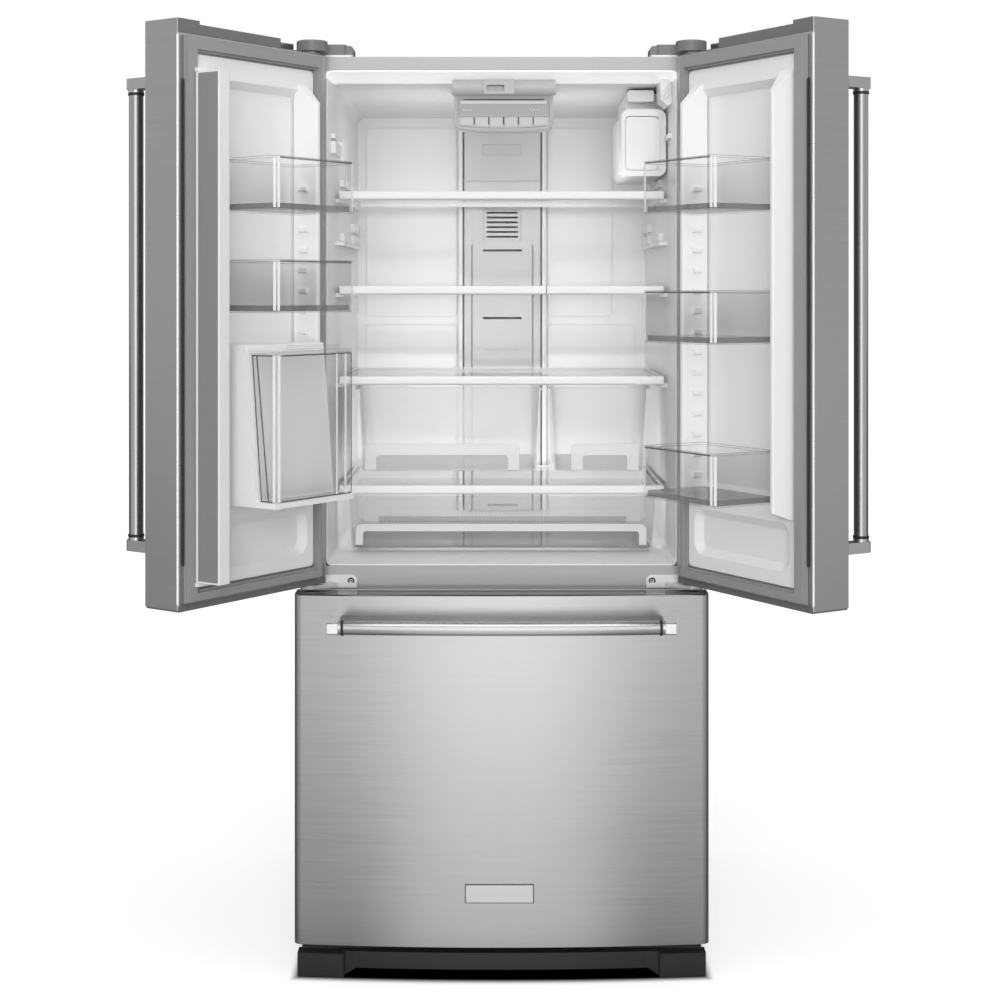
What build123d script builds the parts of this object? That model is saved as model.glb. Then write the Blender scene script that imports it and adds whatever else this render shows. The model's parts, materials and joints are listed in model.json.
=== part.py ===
from build123d import *
import math
import os

# French door bottom-freezer refrigerator, 30 inch class.
# Millimetres. +X to the right of a person facing it, +Y towards its back, +Z up from the floor.
# The shapes are laid out from the cabinet's front plane (Y = 0) and moved to the origin at the end.

# ---- driving dimensions ----
ORIGIN_Y = 157.0            # how far behind the front plane the middle of the resting object lies
CAB_HALF_W = 371.0          # cabinet half width
CAB_DEPTH = 660.0           # front plane to the rear panel
CAB_TOP = 1666.6
CAB_BOTTOM = 58.0
SHEET = 1.2                 # sheet steel
FRONT_HALF_W = 374.5        # half width over the doors and the drawer front
CENTRE_GAP = 5.0            # between the two doors
SEAL_GAP = 12.0             # cabinet front plane to the inner face of the doors
FRONT_Y_MID = -89.5         # most forward point of the bowed fronts
FRONT_BOW = 19.0            # how far the fronts fall back at their sides
FRONT_R = (FRONT_HALF_W**2 + FRONT_BOW**2) / (2 * FRONT_BOW)
FRONT_EDGE_R = 14.0         # rounding of the outer vertical edges
HEM_R = 4.0                 # folded inner edges of the door skins

DOOR_BOTTOM = 703.0
DOOR_TOP = 1688.0
FLANGE_BOTTOM = 713.0       # the steel flange of a door's inner face
FLANGE_TOP = 1664.0
CAP_TOP = 1682.0
HINGE_NOTCH_TOP = 1665.5
HINGE_X = 352.6             # door pivots
HINGE_Y = -36.0
LEFT_OPEN = 125.3           # degrees from closed, at rest
RIGHT_OPEN = 121.0
PIN_R = 6.0
PIN_FIT = 0.06              # radial running clearance

LINER_U0 = 16.0             # door liner's border, measured from the hinge axis
LINER_U1 = 310.0
LINER_Z0 = 739.5
LINER_Z1 = 1631.5
DIKE_H = 41.0               # the liner's dikes stand this far into the compartment
BIN_U0 = 61.0
BIN_U1 = 261.0
BIN_DEPTH = 138.0

CAVITY_HALF_W = 321.0       # fresh food compartment at its mouth
CAVITY_BACK_HALF_W = 314.0
CAVITY_FLOOR = 732.0
CAVITY_MOUTH_TOP = 1639.0
CAVITY_STEP_Y = 100.0       # the ceiling slopes quickly to here, then gently to the back
CAVITY_STEP_TOP = 1629.0
CAVITY_BACK_TOP = 1612.7
CAVITY_DEPTH = 606.0
LINER_WALL = 2.5

SHELF_FRONT_Y = 132.0
SHELF_HALF_W = 311.0
SHELF_BACK_Y = 540.0
COVER_BACK_Y = 539.0
GLASS_T = 4.0
TOP_SHELF_Z = 1427.0
MID_SHELF_Z = 1245.0
SPLIT_X = 86.0
CRISPER_COVER_Z = 1071.5
PANTRY_COVER_Z = 862.0
TRIM_H = 17.0
FRAME_RAIL_H = 14.0

DRAWER_TOP = 688.0          # freezer drawer front
DRAWER_BOTTOM = 58.0
FREEZER_HALF_W = 318.0
FREEZER_FLOOR = 96.0
FREEZER_TOP = 655.0
FREEZER_DEPTH = 470.0

HANDLE_R = 12.3
DOOR_HANDLE_Z0 = 790.0
DOOR_HANDLE_Z1 = 1599.0
HANDLE_STANDOFF = 62.0      # handle axis to the front face
FREEZER_HANDLE_Z = 640.0
FREEZER_HANDLE_HALF = 308.0

TOWER_X0 = -80.6
TOWER_X1 = 84.7
TOWER_FRONT_Y = 566.0
TOWER_FLANGE = 8.6          # strips beside the tower, leaving a shadow gap to it

PANEL_TILT = 14.0           # degrees, control panel from the vertical
BUTTON_COUNT = 6
BUTTON_PITCH = 27.6
PANEL_HALF = BUTTON_COUNT * BUTTON_PITCH / 2 + 3
PANEL_BOW = 4.5             # sag of the panel's lower edge
PANEL_X = 4.0               # middle of the control housing

WHEEL_R = 24.0


# ---- helpers ----
def block(x0, x1, y0, y1, z0, z1):
    middle = ((x0 + x1) / 2, (y0 + y1) / 2, (z0 + z1) / 2)
    return Pos(*middle) * Box(x1 - x0, y1 - y0, z1 - z0)


def upright(x0, x1, y0, y1, z0, z1, radius):
    """A block with rounded vertical edges."""
    outline = RectangleRounded(x1 - x0, y1 - y0, radius)
    return extrude(Pos((x0 + x1) / 2, (y0 + y1) / 2, z0) * outline, amount=z1 - z0)


def facing(x0, x1, y0, y1, z0, z1, radius):
    """A block whose edges along Y are rounded."""
    outline = Plane.XZ * Pos((x0 + x1) / 2, (z0 + z1) / 2) * RectangleRounded(x1 - x0, z1 - z0, radius)
    return Pos(0, y1, 0) * extrude(outline, amount=y1 - y0)


def side_prism(points, x0, x1, radii=None):
    """A profile of (y, z) points drawn out along X, with chosen corners rounded."""
    face = Plane.YZ * make_face(Polyline(*points, close=True))
    for index, radius in (radii or {}).items():
        y, z = points[index]
        face = fillet(nearest_corner(face, (0, y, z)), radius)
    return Pos(x0, 0, 0) * extrude(face, amount=x1 - x0)


def plan_prism(points, z0, z1, radii=None):
    """A profile of (x, y) points drawn out along Z, with chosen corners rounded."""
    face = make_face(Polyline(*points, close=True))
    for index, radius in (radii or {}).items():
        x, y = points[index]
        face = fillet(nearest_corner(face, (x, y, 0)), radius)
    return Pos(0, 0, z0) * extrude(face, amount=z1 - z0)


def nearest_corner(face, place):
    target = Vector(*place)
    return min(face.vertices(), key=lambda v: (Vector(*tuple(v)) - target).length)


def rod(start, end, radius):
    axis = Vector(*end) - Vector(*start)
    return Plane(origin=start, z_dir=axis) * Cylinder(
        radius, axis.length, align=(Align.CENTER, Align.CENTER, Align.MIN))


def tub_layer(x, y, z, inset, radius):
    """One level of a tub: its rim limits x and y drawn in by inset, with rounded corners."""
    corner = max(radius - inset, 1.0)
    middle = Pos((x[0] + x[1]) / 2, (y[0] + y[1]) / 2, z)
    return middle * RectangleRounded(x[1] - x[0] - 2 * inset, y[1] - y[0] - 2 * inset, corner)


def tub_outside(x, y, z0, z1, draft, radius):
    """The filled outer shape of a tub."""
    return loft([tub_layer(x, y, z0, draft, radius), tub_layer(x, y, z1, 0, radius)], ruled=True)


def tub(x, y, z0, z1, draft, wall, radius):
    """An open box whose walls lean out by draft: x and y are its limits at the rim."""
    hollow = loft([tub_layer(x, y, z0 + wall, draft + wall, radius),
                   tub_layer(x, y, z1 + wall, wall, radius)], ruled=True)
    return tub_outside(x, y, z0, z1, draft, radius) - hollow


def front_y(x):
    """The bowed front of doors and drawer at this x."""
    return FRONT_Y_MID + FRONT_R - math.sqrt(FRONT_R**2 - x**2)


def front_outline(x0, x1, back_y, inset=0.0, hem=0.0):
    """Plan of a bowed front between x0 and x1, its outer corners rounded and its inner ones by the hem."""
    left = x0 + inset
    right = x1 - inset
    middle = (left + right) / 2
    arc = ThreePointArc((left, front_y(left) + inset), (middle, front_y(middle) + inset),
                        (right, front_y(right) + inset))
    sides = Polyline((right, front_y(right) + inset), (right, back_y - inset), (left, back_y - inset),
                     (left, front_y(left) + inset))
    face = make_face([*arc.edges(), *sides.edges()])
    for x in (left, right):
        if abs(x) > FRONT_HALF_W / 2:
            corner = nearest_corner(face, (x, front_y(x) + inset, 0))
            face = fillet(corner, FRONT_EDGE_R - inset)
        if hem:
            face = fillet(nearest_corner(face, (x, back_y - inset, 0)), hem - inset)
    return face


# ---- doors, laid out closed on the left-hand side ----
DOOR_X0 = -FRONT_HALF_W
DOOR_X1 = -CENTRE_GAP / 2
INNER_Y = -SEAL_GAP


def door_x(u):
    return u - HINGE_X


def door_skin():
    """Stainless wrap: bowed front, both sides and the inner flange with a window for the liner."""
    height = DOOR_TOP - FLANGE_BOTTOM + 7
    outer = extrude(front_outline(DOOR_X0, DOOR_X1, INNER_Y, 0.0, HEM_R), amount=height)
    inner = extrude(front_outline(DOOR_X0, DOOR_X1, INNER_Y, SHEET, HEM_R), amount=height)
    skin = Pos(0, 0, FLANGE_BOTTOM - 7) * (outer - inner)
    window = block(door_x(LINER_U0 - 1), door_x(LINER_U1 + 1), INNER_Y - 5, INNER_Y + 5,
                   LINER_Z0 - 1, LINER_Z1 + 1)
    above = block(DOOR_X0 + SHEET, DOOR_X1 - SHEET, INNER_Y - HEM_R - 0.1, INNER_Y + 1,
                  FLANGE_TOP, DOOR_TOP + 1)
    below = block(DOOR_X0 + SHEET, DOOR_X1 - SHEET, INNER_Y - HEM_R - 0.1, INNER_Y + 1,
                  FLANGE_BOTTOM - 8, FLANGE_BOTTOM)
    hinge_notch = block(DOOR_X0 - 1, door_x(0), FRONT_Y_MID, INNER_Y + 1, HINGE_NOTCH_TOP, DOOR_TOP + 1)
    return skin - window - above - below - hinge_notch


def door_caps():
    """Moulded end caps: the top one is stepped, and low over the hinge."""
    inset = SHEET + 0.3
    plan = front_outline(DOOR_X0, DOOR_X1, INNER_Y, inset)
    lip = block(DOOR_X0 + inset, DOOR_X1 - inset, INNER_Y - 10, INNER_Y, 0, 1)

    def slab(z0, z1):
        body = Pos(0, 0, z0) * extrude(plan, amount=z1 - z0)
        edge = Pos(0, 0, z0) * extrude(lip.faces().sort_by(Axis.Z)[0], amount=-(z1 - z0))
        return body + edge

    top = slab(FLANGE_TOP + 0.3, DOOR_TOP)
    top -= block(DOOR_X0, door_x(100), FRONT_Y_MID, INNER_Y + 1, HINGE_NOTCH_TOP, DOOR_TOP + 1)
    top -= block(door_x(99), door_x(300), FRONT_Y_MID, INNER_Y + 1, CAP_TOP, DOOR_TOP + 1)
    bottom = slab(DOOR_BOTTOM, FLANGE_BOTTOM - 0.3)
    bore = Pos(-HINGE_X, HINGE_Y, 0) * Cylinder(PIN_R + PIN_FIT, 4000)
    return [top - bore, bottom - bore]


def dike(profile, z0, z1):
    """One moulded dike: a (u, h) profile drawn upwards, its two ends sloped."""
    points = [(door_x(u), INNER_Y + h) for u, h in profile]
    body = plan_prism(points, z0 - 40, z1 + 40, {1: 3.5, 2: 3.5})
    low, high = INNER_Y - 6, INNER_Y + DIKE_H + 1
    ends = side_prism([(low, z0 - 18), (high, z0), (high, z1), (low, z1 + DIKE_H + 6)], -400, 10)
    return body & ends


def door_liner(free_side, dike_z0):
    """White inner panel with its foam core: border, recessed field, two dikes, bosses and low pocket."""
    core_plan = front_outline(DOOR_X0, DOOR_X1, INNER_Y - SHEET, SHEET + 0.3, HEM_R)
    body = Pos(0, 0, FLANGE_BOTTOM + 1) * extrude(core_plan, amount=FLANGE_TOP - FLANGE_BOTTOM - 2)
    body += facing(door_x(LINER_U0), door_x(LINER_U1), INNER_Y - 8, INNER_Y + 2, LINER_Z0, LINER_Z1, 8)
    field = [(LINER_U0 + 22, 880.0, LINER_U1 - 22, LINER_Z1 - 36), (LINER_U0 + 16, 762.0, LINER_U1 - 16, 846.0)]
    for u0, z0, u1, z1 in field:
        body -= recess(u0, u1, z0, z1, depth=12.0, slope=14.0)
    for profile in ([(34, -6), (40, DIKE_H), (50, DIKE_H), (60, -9)], free_side):
        body += dike(profile, dike_z0, LINER_Z1 - 64.5)
    for z in boss_heights():
        body += facing(door_x(50), door_x(60.6), INNER_Y + 5, INNER_Y + 24, z, z + 10, 3)
    bore = Pos(-HINGE_X, HINGE_Y, 0) * Cylinder(PIN_R + 1, 4000)
    return body - bore


def boss_heights():
    return [903.0 + 36.4 * step for step in range(15)]


def recess(u0, u1, z0, z1, depth, slope):
    """A shallow moulded recess with sloped walls, opening towards the compartment."""
    middle = Pos((door_x(u0) + door_x(u1)) / 2, 0, (z0 + z1) / 2)
    width, height = u1 - u0, z1 - z0
    mouth = Plane.XZ.offset(-(INNER_Y + 2.5)) * RectangleRounded(width, height, 24)
    floor = Plane.XZ.offset(-(INNER_Y + 2.5 - depth)) * RectangleRounded(
        width - 2 * slope, height - 2 * slope, 12)
    return middle * loft([floor, mouth], ruled=True)


def door_gasket():
    """Magnetic seal: a hollow-looking frame with a raised magnet rib."""
    outer_u, inner_u = 1.0, LINER_U0 - 2
    free_outer = HINGE_X - CENTRE_GAP / 2 - 12
    z = (FLANGE_BOTTOM + 4, LINER_Z0 - 3, LINER_Z1 + 3, FLANGE_TOP - 4)
    y0 = INNER_Y + 0.3
    frame = block(door_x(outer_u), door_x(free_outer), y0, y0 + 6, z[0], z[3])
    frame -= block(door_x(inner_u), door_x(LINER_U1 + 2), y0 - 1, y0 + 7, z[1], z[2])
    rib = block(door_x(outer_u + 1), door_x(free_outer - 2), y0 + 5, -0.4, z[0] + 2, z[3] - 2)
    rib -= block(door_x(inner_u - 3), door_x(LINER_U1 + 6), y0, 1, z[1] - 4, z[2] + 4)
    return frame + rib


def door_handle():
    """Tube and its two end mounts, standing off the bowed front near the free edge."""
    x = door_x(312.5)
    face = front_y(x)
    y = face - HANDLE_STANDOFF
    bar = rod((x, y, DOOR_HANDLE_Z0 + 24), (x, y, DOOR_HANDLE_Z1 - 24), HANDLE_R)
    mounts = []
    for z_out, z_in in ((DOOR_HANDLE_Z0, DOOR_HANDLE_Z0 + 19), (DOOR_HANDLE_Z1, DOOR_HANDLE_Z1 - 19)):
        low, high = min(z_out, z_in), max(z_out, z_in)
        arm = upright(x - 12.5, x + 12.5, y - 13.5, face + 12, low, high, 5)
        arm -= Pos(0, 0, low - 1) * extrude(front_outline(DOOR_X0, DOOR_X1, INNER_Y, -0.3), amount=high - low + 2)
        collar = rod((x, y, z_in), (x, y, z_in + math.copysign(5, z_in - z_out)), HANDLE_R + 0.8)
        mounts.append(arm + collar)
    return bar, mounts


def door_bin(z0, z1):
    """Door bin: a tub with a rolled rim and a stiffened lower edge."""
    x = (door_x(BIN_U0), door_x(BIN_U1))
    y = (INNER_Y + 3, INNER_Y + BIN_DEPTH)
    body = tub(x, y, z0, z1, draft=2.0, wall=2.4, radius=9.0)
    rim = upright(x[0], x[1], y[0], y[1], z1 - 4, z1, 9) - upright(
        x[0] + 3.6, x[1] - 3.6, y[0] + 3.6, y[1] - 3.6, z1 - 5, z1 + 1, 6)
    return body + rim


def mullion_flap():
    """Flap that closes the gap between the doors, with a shallow bed for its metal face and pivot bores."""
    px, py = FLAP_X, FLAP_Y
    corner = 4.0
    tip = INNER_Y + 68.0
    profile = [(px - 24, py - corner), (px + corner, py - corner), (px + corner, tip), (px - 24, tip)]
    body = plan_prism(profile, FLAP_Z0, FLAP_Z1, {1: corner - 0.01, 0: 3.0, 2: 2.0, 3: 5.0})
    body -= block(px + corner - 1.0, px + corner + 1, py + 5, tip - 3, FLAP_Z0 + 8, FLAP_Z1 - 8)
    body -= facing_x(px - 25, px - 22.5, py + 14, tip - 12, FLAP_Z0 + 16, FLAP_Z1 - 16, 5)
    return body - Pos(px, py, 0) * Cylinder(2.5 + PIN_FIT, 4000)


def facing_x(x0, x1, y0, y1, z0, z1, radius):
    """A block whose edges along X are rounded."""
    outline = Plane.YZ * Pos((y0 + y1) / 2, (z0 + z1) / 2) * RectangleRounded(y1 - y0, z1 - z0, radius)
    return Pos(x0, 0, 0) * extrude(outline, amount=x1 - x0)


FLAP_X = door_x(324.0) - 4.0
FLAP_Y = 4.2
FLAP_Z0 = 751.0
FLAP_Z1 = 1600.0


def flap_brackets():
    """Brackets on the left liner with the pins that the flap turns on."""
    result = None
    for z0, z1, pin in ((FLAP_Z0 - 7, FLAP_Z0 - 0.4, FLAP_Z0 + 14), (FLAP_Z1 + 0.4, FLAP_Z1 + 7, FLAP_Z1 - 14)):
        arm = block(door_x(LINER_U1 - 26), FLAP_X + 4, 0.5, FLAP_Y + 4, z0, z1)
        arm += block(door_x(LINER_U1 - 26), door_x(LINER_U1 - 2), INNER_Y - 4, FLAP_Y, z0, z1)
        arm += rod((FLAP_X, FLAP_Y, (z0 + z1) / 2), (FLAP_X, FLAP_Y, pin), 2.5)
        result = arm if result is None else result + arm
    return result


PITCHER_Z0 = 884.0
PITCHER_Z1 = 1130.0


def pitcher():
    """Water pitcher: drafted body with a sloped back, lid with a raised pouring hatch."""
    def section(z, h0, inset):
        u0, u1 = BIN_U0 + 2 + inset, BIN_U1 - inset
        h1 = BIN_DEPTH - inset * 0.5
        width, depth = u1 - u0, h1 - h0 - inset
        place = Pos((door_x(u0) + door_x(u1)) / 2, INNER_Y + (h0 + inset + h1) / 2, z)
        return place * RectangleRounded(width, depth, 10)

    outer = loft([section(PITCHER_Z0, 92, 0), section(PITCHER_Z1, 71, 0)], ruled=True)
    inner = loft([section(PITCHER_Z0 + 2.5, 92, 2.5), section(PITCHER_Z1 + 1, 71, 2.5)], ruled=True)
    body = outer - inner
    x0, x1 = door_x(BIN_U0 + 2), door_x(BIN_U1)
    y0, y1 = INNER_Y + 70, INNER_Y + BIN_DEPTH
    lid = upright(x0, x1, y0, y1, PITCHER_Z1 + 0.2, PITCHER_Z1 + 5, 9)
    hatch = upright(x0 + 30, x0 + 108, y0 + 6, y1 - 4, PITCHER_Z1 + 5, PITCHER_Z1 + 12, 6)
    return body, lid + hatch


def pitcher_dock():
    """White dock behind and under the pitcher."""
    y = INNER_Y
    ledge_top = PITCHER_Z0 - 0.3
    profile = [(y - 11, 874), (y + 136, 874), (y + 136, ledge_top), (y + 90, ledge_top), (y + 68, 1132),
               (y + 66, 1145), (y - 11, 1145)]
    return side_prism(profile, door_x(BIN_U0 + 1), door_x(BIN_U1), {3: 3.0, 5: 5.0})


def swing_left(shape):
    return Pos(-HINGE_X, HINGE_Y, 0) * Rot(0, 0, -LEFT_OPEN) * Pos(HINGE_X, -HINGE_Y, 0) * shape


def swing_right(shape):
    """The right door's pieces are the mirror image of the left's, turned the other way."""
    other = mirror(shape, about=Plane.YZ)
    return Pos(HINGE_X, HINGE_Y, 0) * Rot(0, 0, RIGHT_OPEN) * Pos(-HINGE_X, -HINGE_Y, 0) * other


# ---- cabinet ----
def cabinet_shell():
    """Painted wrapper: two sides, top and the front flange round both compartments."""
    outer = block(-CAB_HALF_W, CAB_HALF_W, 0, CAB_DEPTH, CAB_BOTTOM, CAB_TOP)
    outer = fillet(outer.edges().filter_by(Axis.Y).group_by(Axis.Z)[-1], 3)
    inner = block(-CAB_HALF_W + SHEET, CAB_HALF_W - SHEET, SHEET, CAB_DEPTH + 1, CAB_BOTTOM - 1, CAB_TOP - SHEET)
    lip = 3.5
    fresh = facing(-CAVITY_HALF_W - lip, CAVITY_HALF_W + lip, -1, 3, CAVITY_FLOOR, CAVITY_MOUTH_TOP + lip, 6)
    fresh += block(-CAVITY_HALF_W - lip, CAVITY_HALF_W + lip, -1, 3, CAB_BOTTOM - 1, CAVITY_FLOOR + 20)
    return outer - inner - fresh


def mullion_rail():
    """Steel cross rail between the compartments, with the dark strip under it."""
    half = CAVITY_HALF_W + 3.0
    top = CAVITY_FLOOR - LINER_WALL - 0.3
    rail = block(-half, half, 0, SHEET, 693, top)
    rail += block(-half, half, 0, 24, top - SHEET, top)
    rail += block(-half, half, 0, 24, 664, 665.2)
    rail += block(-half, half, 3, 4.2, 664, 694)
    rail += block(-half, half, 0, 4.2, 692.8, 694)
    return rail


def cavity_sections(grow):
    """Cross-sections of the fresh food compartment, from its mouth to the back wall."""
    def section(y, half, top, floor, radius):
        place = Plane.XZ.offset(-y) * Pos(0, (top + floor) / 2)
        return place * RectangleRounded(2 * (half + grow), top - floor + 2 * grow, radius + grow)

    step_half = CAVITY_HALF_W + (CAVITY_BACK_HALF_W - CAVITY_HALF_W) * CAVITY_STEP_Y / CAVITY_DEPTH
    return [section(0, CAVITY_HALF_W, CAVITY_MOUTH_TOP, CAVITY_FLOOR, 8),
            section(CAVITY_STEP_Y, step_half, CAVITY_STEP_TOP, CAVITY_FLOOR, 12),
            section(CAVITY_DEPTH + grow, CAVITY_BACK_HALF_W, CAVITY_BACK_TOP, CAVITY_FLOOR + 1, 18)]


def cavity_room():
    """The compartment's inside less a small clearance, for fitting housings under its ceiling."""
    sections = cavity_sections(-0.4)
    return loft(sections[:2], ruled=True) + loft(sections[1:], ruled=True)


def cavity_half(y):
    """Half width of the compartment at depth y."""
    return CAVITY_HALF_W + (CAVITY_BACK_HALF_W - CAVITY_HALF_W) * y / CAVITY_DEPTH


def fridge_liner():
    """Moulded liner: tapered walls, a two-slope ceiling, shelf ledges and raised panels on the back."""
    inside = cavity_sections(0)
    outside = cavity_sections(LINER_WALL)
    liner = loft(outside[:2], ruled=True) + loft(outside[1:], ruled=True)
    liner -= loft(inside[:2], ruled=True)
    liner -= loft(inside[1:], ruled=True)
    for z in ledge_heights():
        for side in (-1, 1):
            liner += ledge(side, z)
    for x0, x1, z0, z1 in BACK_PANELS:
        liner += facing(x0, x1, CAVITY_DEPTH - 5, CAVITY_DEPTH + 0.5, z0, z1, 12)
    for side, y0, y1, z0, z1 in WALL_LUGS:
        near, far = side * (cavity_half(y1) - 7), side * (cavity_half(y0) + 1)
        liner += block(min(near, far), max(near, far), y0, y1, z0, z1)
    return liner


BACK_PANELS = ((-294.0, -97.0, 1180, 1590), (-294.0, -97.0, 760, 1160),
               (101.0, 241.0, 1180, 1590), (101.0, 291.0, 760, 1160))
LUG_ROWS = ((60, 138, 1522, 1531), (228, 290, 1440, 1454), (308, 372, 1440, 1454), (390, 450, 1440, 1454),
            (468, 530, 1440, 1454), (228, 340, 1333, 1349), (450, 512, 1333, 1350), (530, 592, 1333, 1350),
            (450, 512, 1358, 1376), (530, 592, 1358, 1376))
SWITCH_BOX = ((-1, 60, 190, 1494, 1517), (-1, 205, 300, 1490, 1528))
WALL_LUGS = [(side, *row) for side in (-1, 1) for row in LUG_ROWS] + list(SWITCH_BOX)


def ledge_heights():
    """Tops of the ribs: one under each shelf and cover, and one spare place."""
    shelves = (TOP_SHELF_Z, MID_SHELF_Z, CRISPER_COVER_Z, PANTRY_COVER_Z)
    return [z - FRAME_RAIL_H - 0.3 for z in shelves] + [1330.0]


def ledge(side, top):
    """A rib along a side wall that a shelf frame rests on."""
    y0, y1 = SHELF_FRONT_Y + 12.5, SHELF_BACK_Y - 10
    inner = side * (SHELF_HALF_W - 9)
    points = [(side * (cavity_half(y) + 1), y) for y in (y0, y1)] + [(inner, y1), (inner, y0)]
    return plan_prism(points, top - 7, top, {2: 4.0, 3: 4.0})


def freezer_liner():
    outer = facing(-FREEZER_HALF_W - LINER_WALL, FREEZER_HALF_W + LINER_WALL, 0, FREEZER_DEPTH + LINER_WALL,
                   FREEZER_FLOOR - LINER_WALL, FREEZER_TOP + LINER_WALL, 14)
    inner = facing(-FREEZER_HALF_W, FREEZER_HALF_W, -1, FREEZER_DEPTH, FREEZER_FLOOR, FREEZER_TOP, 12)
    liner = outer - inner
    for side in (-1, 1):
        x0, x1 = sorted((side * (FREEZER_HALF_W + 0.5), side * (FREEZER_HALF_W - 10)))
        liner += facing_x(x0, x1, 40, 400, UPPER_BASKET_Z - 9, UPPER_BASKET_Z - 1, 3)
    return liner


UPPER_BASKET_Z = 585.0


def insulation_foam():
    """Foamed-in-place insulation between the wrapper and the liners."""
    gap = 0.2
    body = block(-CAB_HALF_W + SHEET + gap, CAB_HALF_W - SHEET - gap, SHEET + gap, CAB_DEPTH - gap,
                 CAB_BOTTOM + 2, CAB_TOP - SHEET - gap)
    grown = cavity_sections(LINER_WALL + gap)
    body -= loft(grown[:2], ruled=True)
    body -= loft(grown[1:], ruled=True)
    body -= block(-CAVITY_HALF_W - 3.2, CAVITY_HALF_W + 3.2, 0, 24.5, CAB_BOTTOM, CAVITY_FLOOR + 3)
    body -= block(-CAVITY_HALF_W - 3.2, CAVITY_HALF_W + 3.2, 0, 6, CAVITY_FLOOR, CAVITY_MOUTH_TOP + 3.2)
    pocket = LINER_WALL + gap
    body -= facing(-FREEZER_HALF_W - pocket, FREEZER_HALF_W + pocket, -1, FREEZER_DEPTH + pocket,
                   FREEZER_FLOOR - pocket, FREEZER_TOP + pocket, 14)
    body -= machine_space(1.5)
    return body


MACHINE_TOP = 300.0
MACHINE_FRONT = 492.0
MACHINE_SLOPE = 560.0


def machine_space(grow):
    """The stepped room for the compressor at the lower back."""
    profile = [(MACHINE_FRONT - grow, 0), (MACHINE_FRONT - grow, 190 + grow),
               (MACHINE_SLOPE - grow, MACHINE_TOP + grow), (CAB_DEPTH + 5, MACHINE_TOP + grow), (CAB_DEPTH + 5, 0)]
    return side_prism(profile, -CAB_HALF_W + SHEET + 0.1, CAB_HALF_W - SHEET - 0.1)


def base_frame():
    """Steel base: floor pan under the freezer, stepped wall of the machine compartment and its floor."""
    half = CAB_HALF_W - SHEET - 0.3
    t = 1.2
    y1, y2 = MACHINE_FRONT, MACHINE_SLOPE
    front = [(2, CAB_BOTTOM), (y1, CAB_BOTTOM), (y1, 190), (y2, MACHINE_TOP), (CAB_DEPTH - 1, MACHINE_TOP),
             (CAB_DEPTH - 1, MACHINE_TOP - t), (y2 + 0.6, MACHINE_TOP - t), (y1 + t, 190 - 0.6), (y1 + t, CAB_BOTTOM),
             (CAB_DEPTH - 1, CAB_BOTTOM), (CAB_DEPTH - 1, CAB_BOTTOM - t), (2, CAB_BOTTOM - t)]
    pan = side_prism(front, -half, half)
    for side in (-1, 1):
        x0, x1 = sorted((side * (half - 2), side * (half - 30)))
        rail = block(x0, x1, 4, CAB_DEPTH - 2, CAB_BOTTOM - 18, CAB_BOTTOM - 1)
        rail -= block(x0 + 2, x1 - 2, 3, CAB_DEPTH, CAB_BOTTOM - 19, CAB_BOTTOM - 3)
        wheel_y = ROLLER_Y
        for x in (x0, x1 - 2):
            rail += block(x, x + 2, wheel_y - 16, wheel_y + 16, WHEEL_R - 9, CAB_BOTTOM - 16)
        rail += rod((x0, wheel_y, WHEEL_R), (x1, wheel_y, WHEEL_R), 4)
        pan += rail
    return pan


ROLLER_Y = 610.0


def roller(side):
    x0, x1 = sorted((side * (CAB_HALF_W - 6.5), side * (CAB_HALF_W - 28.5)))
    wheel = rod((x0, ROLLER_Y, WHEEL_R), (x1, ROLLER_Y, WHEEL_R), WHEEL_R)
    wheel = fillet(wheel.edges().filter_by(GeomType.CIRCLE), 2)
    return wheel - rod((x0 - 1, ROLLER_Y, WHEEL_R), (x1 + 1, ROLLER_Y, WHEEL_R), 4 + PIN_FIT)


def levelling_feet():
    """Front levelling feet: threaded stem and a wide pad, under the base rails."""
    feet = []
    for side in (-1, 1):
        x = side * (CAB_HALF_W - 17)
        pad = Pos(x, 40, 5) * Cylinder(19, 10)
        pad = chamfer(pad.edges().sort_by(Axis.Z)[-1], 3)
        stem = rod((x, 40, 8), (x, 40, CAB_BOTTOM - 18.2), 6)
        feet.append(pad + stem)
    return feet


def rear_panel():
    """Flat back sheet with pressed vertical beads and a folded lower edge."""
    y = CAB_DEPTH + 0.2
    panel = block(-CAB_HALF_W, CAB_HALF_W, y, y + 1.0, MACHINE_TOP + 2, CAB_TOP)
    for x in (-240, -80, 80, 240):
        bead = Pos(x, y + 1.0, 1000) * Cylinder(5, 1100)
        panel += bead & block(-400, 400, y + 0.5, y + 10, 300, 1700)
    return panel


def machine_cover():
    """Rear cover of the machine compartment with two banks of vent slots."""
    y = CAB_DEPTH + 0.2
    cover = facing(-CAB_HALF_W + 4, CAB_HALF_W - 4, y, y + 1.5, CAB_BOTTOM + 4, MACHINE_TOP, 8)
    for bank in (-190, 190):
        for row in range(9):
            z = 100 + 20 * row
            cover -= facing(bank - 110, bank + 110, y - 1, y + 3, z, z + 7, 3)
    return cover


def compressor():
    """Hermetic compressor: domed can on its feet, terminal box and service stub."""
    x, y, z = -150.0, 585.0, CAB_BOTTOM + 6
    half = [(0, z + 8), (46, z + 8), (62, z + 24), (65, z + 60), (65, z + 96), (56, z + 124), (30, z + 142),
            (0, z + 147)]
    outline = make_face(Polyline(*[(r, h) for r, h in half], close=True))
    can = Pos(x, y, 0) * revolve(Plane.XZ * outline, axis=Axis.Z)
    foot = upright(x - 88, x + 88, y - 52, y + 52, z, z + 9, 16)
    for dx in (-76, 76):
        for dy in (-40, 40):
            foot += Pos(x + dx, y + dy, z - 2.9) * Cylinder(9, 6)
    box = upright(x + 50, x + 84, y - 24, y + 24, z + 50, z + 104, 5)
    stub = rod((x - 40, y, z + 80), (x - 84, y, z + 96), 4)
    return can + foot + box + stub


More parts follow.
